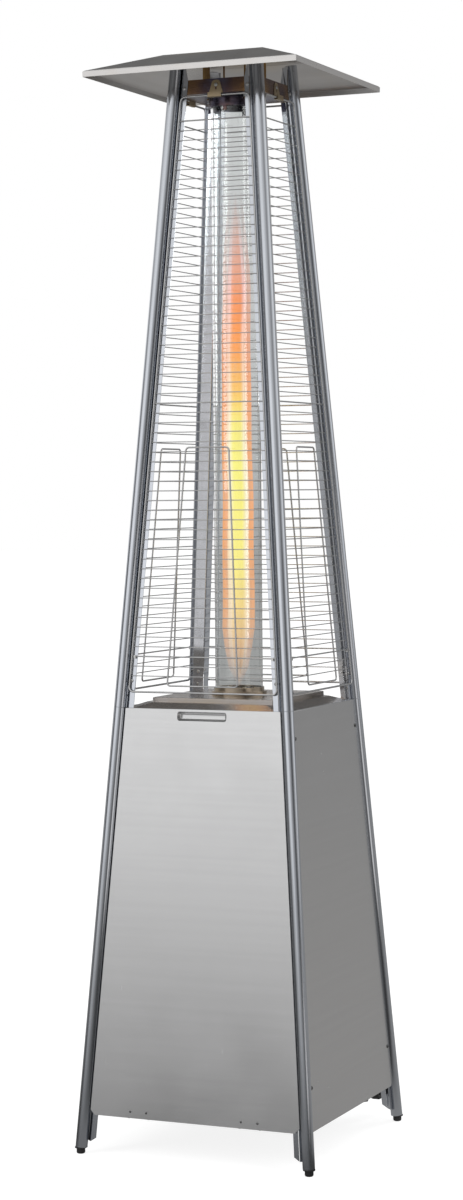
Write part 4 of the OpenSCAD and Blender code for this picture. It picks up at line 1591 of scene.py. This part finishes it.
@dataclass
class Top:
    """The pan between the leg tops, the clips, the glass collar, and the reflector on straps."""

    pan_foot: float = 2.187
    pan_head: float = 2.217
    pan_hole_r: float = 0.046
    pan_fold_r: float = 0.0016
    sheet: float = 0.001
    web: float = 0.0137
    collar_r: float = 0.050
    reflector_half: float = 0.235
    plateau: float = 0.1115
    rim_z: float = 2.227
    top_z: float = 2.270
    rim_fold: float = 0.0016
    ridge_r: float = 0.0022
    guard_head: float = 2.1814
    clip_head: float = 2.2140
    clip_half: float = 0.0150
    strap_x: float = 0.064
    strap_wall: float = 0.0014

    def ring(self, z: float, inset: float) -> list[tuple[float, float, float]]:
        """The pan's outline at height z."""
        half = SHAPE.half(z) - 0.00065 - inset
        corner = 2 * SHAPE.half(z) - self.web * math.sqrt(2) - 0.0012 - 1.5 * inset
        return octagon(z, half, corner)

    def pan(self) -> None:
        """The upturned tray that ties the legs together."""
        foot, head = self.pan_foot, self.pan_head
        piece = loft("pan", [self.ring(foot, 0), self.ring(head, 0), self.ring(head, 0.0035)])
        cap(piece, foot, self.pan_fold_r, lambda at, way: abs(at.z - foot) < SLACK)
        drill(thicken(piece, self.sheet, -1.0), foot, self.pan_hole_r)
        piece.name = "leg_tie_pan"
        deliver(piece, PAN_STEEL, stands_for=["top_pan"])

    def collar(self) -> None:
        """The collar round the head of the glass, with four spring tongues."""
        high, inner, outer = self.pan_foot, self.collar_r + 0.0003, self.collar_r + 0.0040
        low = high - 0.020
        ring = [(outer, high), (outer, low), (inner, low), (inner, high), (outer, high)]
        body = lathe("collar", ring, 96, 0.0006)
        ends = (inner, -0.004, high - 0.029), (inner + self.sheet, 0.004, high - 0.019)
        tongues = repeat(block("tongue", *ends, 0.0003), around(4))
        deliver(join([body, *tongues], "glass_collar"), PAN_STEEL, stands_for=["top_collar"])

    def clips(self) -> None:
        """The keyhole clips that hold each guard's head rod."""
        low, shoulder, wide = self.guard_head - 0.0036, self.guard_head + 0.007, self.clip_half
        lower = ((-wide, low), (wide, low), (wide, shoulder))
        upper = ((0.0080, self.clip_head), (-0.0080, self.clip_head), (-wide, shoulder))
        piece = sheet("clip", [SHAPE.on(u, 0.0, z) for u, z in (*lower, *upper)])
        foot, head = SHAPE.rise(low), SHAPE.rise(self.clip_head)
        with editing(piece):
            pick(Pick.EDGES, lambda at, way: at.z < foot + SLACK)
            pull((0, -0.0078, 0))
            pull((0, 0, 0.0095))
            round_off(lambda at, way: at.z < foot + SLACK and abs(way.x) > 0.01, 0.0011, 3)
            pick(Pick.POINTS, lambda at, way: at.z > head - SLACK)
            bevel(0.0055, 5, "VERTICES")
            face_out()
        z = SHAPE.rise(Screws.clip_z)
        hole = rod("hole", (0, 0.003, z), (0, -0.003, z), 0.0032, 24)
        slot = block("slot", (-0.0017, -0.003, z - 0.010), (0.0017, 0.003, z))
        cut(thicken(piece, self.sheet), hole, slot)
        clips = join(repeat(piece, [SHAPE.face(side) for side in Side]), "guard_rod_clips")
        deliver(clips, CLIP_STEEL, stands_for=["guard_clips"])

    def reflector(self) -> None:
        """The square reflector: a flat middle, four slopes, and a rim folded down."""
        choose()
        bpy.ops.mesh.primitive_plane_add(size=2 * self.plateau, location=(0, 0, self.top_z))
        piece = start("reflector_sheet")
        share = self.reflector_half / self.plateau
        with editing(piece):
            pick(Pick.EDGES, lambda at, way: True)
            pull((0, 0, self.rim_z + self.rim_fold - self.top_z))
            scale((share, share, 1), (0, 0, 0))
            pull((0, 0, -self.rim_fold))
            level = self.rim_z + SLACK
            round_off(lambda at, way: at.z > level and abs(way.z) < SLACK, self.ridge_r, 3)
            round_off(lambda at, way: abs(way.z) > 0.02, self.ridge_r, 3)
            face_out()
        thicken(piece, self.sheet, -1.0)
        deliver(piece, REFLECTOR_STEEL, stands_for=["reflector"])

    def straps(self) -> None:
        """Two bent straps between the pan and the reflector."""
        low, high = self.pan_foot + 0.0015, self.top_z - self.sheet - 0.0002
        made = []
        for x in (-self.strap_x - 0.008, self.strap_x - 0.008):
            points = [(x, 0.0130, low), (x, 0, low), (x, 0, high), (x, 0.0130, high)]
            strap = trace("strap", points)
            with editing(strap):
                every()
                pull((0.016, 0, 0))
                round_off(lambda at, way: abs(way.x) > 0.01 and abs(at.y) < SLACK, 0.0024, 4)
            made.append(thicken(strap, self.strap_wall))
        deliver(join(made, "reflector_strap_pair"), STRAP_STEEL, stands_for=["reflector_straps"])

    def build(self) -> None:
        """Makes everything above the guards."""
        self.pan()
        self.collar()
        self.clips()
        self.reflector()
        self.straps()
        dress(STRAP_STEEL, "reflector_studs")
        dress(ZINC, "reflector_nuts")


# ---- Feet, wheels, controls and gas line ----------------------------------------------------


@dataclass
class Ground:
    """The feet, and the two wheels that it is tipped back on to be moved."""

    foot_r: float = 0.009
    tube_r: float = 0.0125
    wheel_r: float = 0.035
    wheel_w: float = 0.022
    spokes: int = 6

    def feet(self) -> None:
        """Four moulded feet: a rounded pad, a neck and a rim that closes the tube's end."""
        r, rim = self.foot_r, self.tube_r
        pad = ((0.0, 0.0), (0.0062, 0.0), (0.0080, 0.0008), (r, 0.0030), (r, 0.0100))
        neck = ((0.0082, 0.0112), (rim, 0.0118), (rim, 0.0136), (0.0, 0.0136))
        foot = lathe("foot", (*pad, *neck), 40)
        move(foot, Matrix.Translation(SHAPE.leg_point(0.0)))
        feet = join(repeat(foot, around(4)), "moulded_feet")
        deliver(feet, MATT_PLASTIC, stands_for=["feet"])

    def wheel(self) -> Piece:
        """One wheel, its axle along Z: a ribbed tread, a web with spokes, and a hub."""
        r, w = self.wheel_r, self.wheel_w / 2
        side = (
            (0.0051, w),
            (0.0115, w),
            (0.0125, w - 0.0015),
            (0.0125, w - 0.0050),
            (r - 0.0095, w - 0.0050),
            (r - 0.0085, w - 0.0010),
            (r - 0.0040, w),
            (r - 0.0012, w - 0.0022),
            (r, w - 0.0045),
            (r, 0.0016),
            (r - 0.0012, 0.0010),
        )
        ring = [*side, *((x, -z) for x, z in reversed(side)), side[0]]
        body = lathe("wheel_body", ring, 72)
        ends = (0.0115, -0.0016, -w + 0.003), (r - 0.0088, 0.0016, w - 0.0025)
        spokes = repeat(block("spoke", *ends, 0.0005), around(self.spokes))
        return join([body, *spokes], "wheel_pattern")

    def wheels(self) -> None:
        """Both wheels, each on its own body."""
        places = {}
        for side in ("left", "right"):
            low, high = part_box(f"wheel_{side}")
            middle = Matrix.Translation((low + high) / 2)
            places[side] = middle @ Matrix.Rotation(QUARTER, 4, "Y")
        for side, piece in zip(places, repeat(self.wheel(), list(places.values()))):
            piece.name = f"transport_wheel_{side}"
            deliver(piece, RUBBER, f"{side}_wheel", [f"wheel_{side}"])

    def build(self) -> None:
        """Makes the feet and wheels, and dresses what carries them."""
        self.feet()
        self.wheels()
        dress(DARK_SHEET, "wheel_brackets", "base_plate")
        dress(ZINC, "wheel_axles", "leg_sleeves")


@dataclass
class Controls:
    """The knob, the igniter and their bezel on the back panel, and the gas line behind them."""

    z: float = 0.870
    u: float = 0.045
    proud: float = 0.004
    bezel_t: float = 0.0015
    bezel_half: tuple[float, float] = (0.085, 0.034)
    spindle_hole_r: float = 0.008
    button_hole_r: float = 0.00905
    knob_r: float = 0.022
    knob_n: float = 0.0088
    button_r: float = 0.009
    button_n: float = 0.0026
    ribs: int = 24
    barbs: int = 4
    nut_r: float = 0.0062
    pipe_r: float = 0.004
    pipe_bend: float = 0.014

    def bezel(self) -> None:
        """The plate round the controls, with raised marks but no words."""
        middle = SHAPE.rise(self.z)
        near, far = -self.proud - self.bezel_t, -self.proud
        wide, tall = self.bezel_half
        plate = block("bezel", (-wide, near, middle - tall), (wide, far, middle + tall))
        with editing(plate):
            round_off(lambda at, way: abs(way.y) > abs(way.x) + abs(way.z), 0.006, 5)
            round_off(lambda at, way: at.y < near + SLACK, 0.0004, 2)
        for u, radius in ((self.u, self.spindle_hole_r), (-self.u, self.button_hole_r)):
            ends = (u, -self.proud - 0.006, middle), (u, 0.004, middle)
            cut(plate, rod("hole", *ends, radius, 40))
        mark = block("mark", (-0.0006, -0.0002, 0.0245), (0.0006, 0.0002, 0.0285), 0.0001)
        at = Matrix.Translation((self.u, near, middle))
        turns = [Matrix.Rotation(math.radians(degrees), 4, "Y") for degrees in (0, 45, 90)]
        marks = repeat(mark, [at @ turn for turn in turns])
        piece = join([plate, *marks], "control_bezel_plate")
        move(piece, SHAPE.face(Side.BACK))
        deliver(piece, DARK_SHEET, stands_for=["control_bezel"])

    def knob(self) -> None:
        """The push-and-turn knob: a skirt, a ribbed grip with a bar on it, a square shank."""
        r = self.knob_r
        skirt = ((0.0, 0.0), (r - 0.001, 0.0), (r, 0.001), (r, 0.0042), (r - 0.0012, 0.0050))
        grip = ((r - 0.0040, 0.0056), (r - 0.0052, 0.0168), (r - 0.0066, 0.0180), (0.0, 0.0180))
        body = lathe("knob_body", (*skirt, *grip), 72)
        reach = r - 0.0045
        bar = block("grip_bar", (-0.0030, -reach, 0.0045), (0.0030, reach, 0.0210), 0.0013, 3)
        rib = rod("rib", (reach, 0, 0.0060), (r - 0.0054, 0, 0.0165), 0.0009, 10)
        ribs = repeat(rib, around(self.ribs))
        shank = block("shank", (-0.0025, -0.0025, -0.0245), (0.0025, 0.0025, 0.001), 0.0002)
        piece = join([body, bar, *ribs, shank], "push_turn_knob")
        move(piece, SHAPE.out(Side.BACK, self.u, self.knob_n, self.z))
        deliver(piece, SATIN_PLASTIC, "knob", ["control_knob"])

    def button(self) -> None:
        """The igniter's button: a dished head on a stem."""
        tall = self.proud + self.bezel_t + 0.006 - self.button_n
        r = self.button_r
        dish = ((0.0, tall - 0.0009), (r * 0.45, tall - 0.0007), (r * 0.78, tall - 0.0001))
        rim = ((r - 0.0007, tall), (r, tall - 0.0008), (r, 0.0))
        stem = ((0.004, 0.0), (0.004, -0.0186), (0.0, -0.0186))
        piece = lathe("igniter_push_button", (*dish, *rim, *stem), 48)
        move(piece, SHAPE.out(Side.BACK, -self.u, self.button_n, self.z))
        deliver(piece, SATIN_PLASTIC, "igniter", ["igniter_button"])

    def inlet(self) -> None:
        """The hose nipple: a hexagon, and barbs down its length."""
        foot = SHAPE.face(Side.BACK) @ SHAPE.on(self.u, -0.0272, self.z - 0.043)
        profile = [(0.0, 0.0), (0.0036, 0.0)]
        for k in range(self.barbs):
            z = 0.0008 + 0.0044 * k
            profile += [(0.0050, z + 0.0030), (0.0041, z + 0.0034)]
        profile += [(0.0041, 0.0190), (0.0050, 0.0195), (0.0, 0.0205)]
        nipple = lathe("nipple", profile, 36)
        nut = rod("nut", (0, 0, 0.0198), (0, 0, 0.0262), 0.0088, 6, 0.0006)
        lean = Matrix.Translation(foot) @ Matrix.Rotation(SHAPE.tilt, 4, "X")
        piece = move(join([nipple, nut], "hose_nipple"), lean)
        deliver(piece, BRASS, stands_for=["gas_inlet"])

    def pipe(self) -> None:
        """The bent pipe from the valve to the jet, with a nut at each end."""
        low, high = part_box("gas_pipe")
        jet_low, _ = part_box("gas_jet")
        x, y, top = low.x + 0.0065, high.y - 0.0065, jet_low.z + 0.006
        away = Vector((x, y, 0)).normalized()
        end = away * 0.0076
        line = trace("pipe_line", [(x, y, low.z), (x, y, top), (end.x, end.y, top)])
        round_points(line, self.pipe_bend, 6)
        tube = make_tube(line, self.pipe_r, 3)
        far = end + away * 0.009
        runs = (
            ((x, y, low.z + 0.001), (x, y, low.z + 0.010)),
            ((end.x, end.y, top), (far.x, far.y, top)),
        )
        nuts = [rod("nut", *run, self.nut_r, 6, 0.0005) for run in runs]
        deliver(join([tube, *nuts], "bent_gas_pipe"), BRASS, stands_for=["gas_pipe"])

    def build(self) -> None:
        """Makes the controls and dresses the plain parts behind the panel."""
        self.bezel()
        self.knob()
        self.button()
        self.inlet()
        self.pipe()
        dress(BRASS, "gas_jet", "gas_valve")
        dress(ZINC, "valve_spindle", "control_bracket", "guard_hooks")
        dress(MATT_PLASTIC, "igniter_body", "tilt_switch")


# ---- Studio ---------------------------------------------------------------------------------

WHITE = (1.0, 1.0, 1.0, 1.0)
# Painted light and shade on the floor, seen only in what mirrors it: tone by distance, bands round
# the heater, and a warm patch further out.
FLOOR_PAINTED_LIGHT_NEAR_TO_FAR = (
    (0.02, 0.24), (0.085, 0.40), (0.15, 0.52), (0.28, 0.62), (0.75, 0.72), (1.0, 0.76)
)
FLOOR_PAINTED_LIGHT_ROUND = (
    (0.00, 0.80), (0.065, 0.22), (0.12, 0.72), (0.15, 1.0), (0.225, 1.0), (0.27, 0.80),
    (0.3155, 0.60), (0.40, 0.20), (0.45, 0.25), (0.51, 0.85), (0.58, 1.0), (0.63, 1.0),
    (1.00, 0.80),
)
FLOOR_PAINTED_LIGHT_PATCH = ((0.385, 0.0), (0.41, 1.0), (0.46, 1.0), (0.485, 0.0))
AIR_LOW = (
    (0.00, 0.40), (0.065, 0.06), (0.11, 0.50), (0.145, 1.0), (0.225, 1.0), (0.27, 0.62),
    (0.3155, 0.40), (0.40, 0.08), (0.44, 0.14), (0.50, 0.52), (0.57, 0.95), (0.63, 0.46),
    (0.665, 0.30), (0.70, 0.30), (0.75, 0.22), (0.82, 0.48), (0.87, 0.85), (0.94, 0.92),
    (1.00, 0.45),
)
AIR_RISE = ((0.0, 0.66), (0.25, 0.80), (0.5, 0.93), (1.0, 1.0))
AIR_OVER = (
    (0.00, 0.50), (0.12, 0.80), (0.22, 0.90), (0.3155, 0.60), (0.42, 0.30), (0.55, 0.92),
    (0.66, 0.45), (0.72, 0.14), (0.80, 0.08), (0.88, 0.08), (0.94, 0.40), (1.00, 0.50),
)


@dataclass
class Studio:
    """A pale floor, soft light all round, and the camera."""

    distance: float = 5.61888
    azimuth: float = 23.56
    eye: float = 1.36192
    pitch: float = -2.27
    roll: float = -0.46
    lens: float = 80.14
    shift_x: float = -0.00585
    floor_reach: float = 40.0

    def floor(self) -> None:
        """A plain pale floor, as white as the backdrop, which glows with painted light and shade
        for what mirrors it.
        """
        choose()
        circle = {"vertices": 96, "radius": 60, "fill_type": "NGON"}
        bpy.ops.mesh.primitive_circle_add(**circle, location=(0, 0, -0.0003))
        ground = start("studio_floor")
        pale = bpy.data.materials.new("studio_floor_paint")
        pale.use_nodes = True
        wiring = Wiring(pale.node_tree)
        matt = wiring.node("BsdfDiffuse", {"Color": (0.30, 0.30, 0.30, 1.0)}).outputs[0]
        glow = wiring.node("Emission", {"Color": WHITE, "Strength": 0.86}).outputs[0]
        lit = wiring.node("AddShader", {"#0": matt, "#1": glow}).outputs[0]
        # What mirrors the floor sees painted light and shade, not the floor as lit: darkest near
        # the heater towards the front left, mid grey behind, in bright and dark bands round it,
        # with a warm patch further out.
        place = wiring.place()
        reach = wiring.length(place)
        far = wiring.math("DIVIDE", reach, self.floor_reach)
        values = {"#0": place, "#1": (-0.40, -0.91, 0.0)}
        along = wiring.node("VectorMath", values, operation="DOT_PRODUCT").outputs["Value"]
        share = wiring.spread(wiring.math("DIVIDE", along, wiring.add(reach, 0.1)), -1.0, 1.0)
        painted_shade_behind = wiring.ramp(far, ((0.02, (0.39, 0.385, 0.38)), (0.5, (0.34, 0.34, 0.34))))
        level = wiring.blend(share, painted_shade_behind, wiring.greys(far, FLOOR_PAINTED_LIGHT_NEAR_TO_FAR))
        turn = wiring.heading(wiring.parts(place))
        painted_light_bands = wiring.tint(level, wiring.greys(turn, FLOOR_PAINTED_LIGHT_ROUND))
        patch = wiring.times(wiring.greys(turn, FLOOR_PAINTED_LIGHT_PATCH), wiring.spread(reach, 2.4, 3.6))
        tone = wiring.blend(patch, painted_light_bands, (1.0, 0.97, 0.95, 1.0))
        mirrored = wiring.node("Emission", {"Color": tone, "Strength": 1.0}).outputs[0]
        wiring.by_ray(mirrored, lit, "OutputMaterial")
        ground.data.materials.append(pale)

    def backdrop(self) -> None:
        """Soft light all round, brighter above, with dark stretches that polished steel mirrors."""
        world = bpy.data.worlds.new("studio_air")
        bpy.context.scene.world = world
        world.use_nodes = True
        wiring = Wiring(world.node_tree)
        parts = wiring.parts(wiring.node("TexCoord").outputs["Generated"])
        turn, height = wiring.heading(parts), parts[2]
        cool = [(at, (tone, tone, tone * 1.01)) for at, tone in AIR_LOW]
        rise = wiring.greys(wiring.spread(height, -0.02, 0.10), AIR_RISE)
        low = wiring.tint(wiring.ramp(turn, cool), rise)
        above = wiring.greys(turn, AIR_OVER)
        level = wiring.blend(wiring.spread(height, 0.14, 0.24), low, above)
        tone = wiring.blend(wiring.spread(height, 0.62, 0.95), level, (0.58, 0.59, 0.60, 1.0))
        mirrored = wiring.node("Background", {"Color": tone, "Strength": 1.32}).outputs[0]
        plain = wiring.node("Background", {"Color": WHITE, "Strength": 1.0}).outputs[0]
        wiring.by_ray(mirrored, plain, "OutputWorld")

    def softbox(
        self, name: str, place: Point, aim: Point, size: tuple[float, float], power: float
    ) -> None:
        """One rectangular soft light.

        Args:
            name: Its name.
            place: Where it hangs.
            aim: The point that it faces.
            size: Its width and height.
            power: Its power in watts.
        """
        lamp = bpy.data.lights.new(name, "AREA")
        lamp.shape = "RECTANGLE"
        lamp.size, lamp.size_y = size
        lamp.energy = power
        holder = bpy.data.objects.new(name, lamp)
        holder.location = place
        way = Vector(aim) - Vector(place)
        holder.rotation_euler = way.to_track_quat("-Z", "Y").to_euler()
        holder.visible_glossy = False
        bpy.context.scene.collection.objects.link(holder)

    def camera(self) -> None:
        """The camera, a little over mid height, turned to the door's right."""
        turn, dip, tip = (math.radians(a) for a in (self.azimuth, self.pitch, self.roll))
        data = bpy.data.cameras.new("view")
        data.lens = self.lens
        data.sensor_fit = "AUTO"
        data.sensor_width = 36
        data.shift_x = self.shift_x
        data.dof.use_dof = False
        holder = bpy.data.objects.new("view", data)
        level = Vector((-math.sin(turn), math.cos(turn), 0.0))
        ahead = level * math.cos(dip) + UP * math.sin(dip)
        right = ahead.cross(UP).normalized()
        side = right * math.cos(tip) + right.cross(ahead) * math.sin(tip)
        place = Matrix((side, side.cross(ahead), -ahead)).transposed().to_4x4()
        place.translation = UP * self.eye - level * self.distance
        holder.matrix_world = place
        bpy.context.scene.collection.objects.link(holder)
        bpy.context.scene.camera = holder

    def build(self) -> None:
        """Sets up the studio."""
        bpy.context.scene.view_settings.view_transform = "Standard"
        self.floor()
        self.backdrop()
        self.camera()
        self.softbox("key_light", (-2.6, -3.2, 2.6), (0, 0, 1.2), (1.4, 2.6), 60)
        self.softbox("fill_light", (3.4, -1.2, 2.2), (0, 0, 1.2), (0.8, 2.8), 35)
        self.softbox("rim_light", (1.6, 3.2, 2.8), (0, 0, 1.4), (1.2, 2.4), 40)


def main() -> None:
    """Builds the heater's pieces in order."""
    logging.basicConfig(level=logging.INFO, format="%(message)s")
    Studio().build()
    legs = Legs()
    legs.build()
    for group in (WireGuard, Panels, BurnerBox, FlameTube, Top, Ground, Controls):
        group().build()
    Screws().build(legs)


if __name__ == "__main__":
    main()
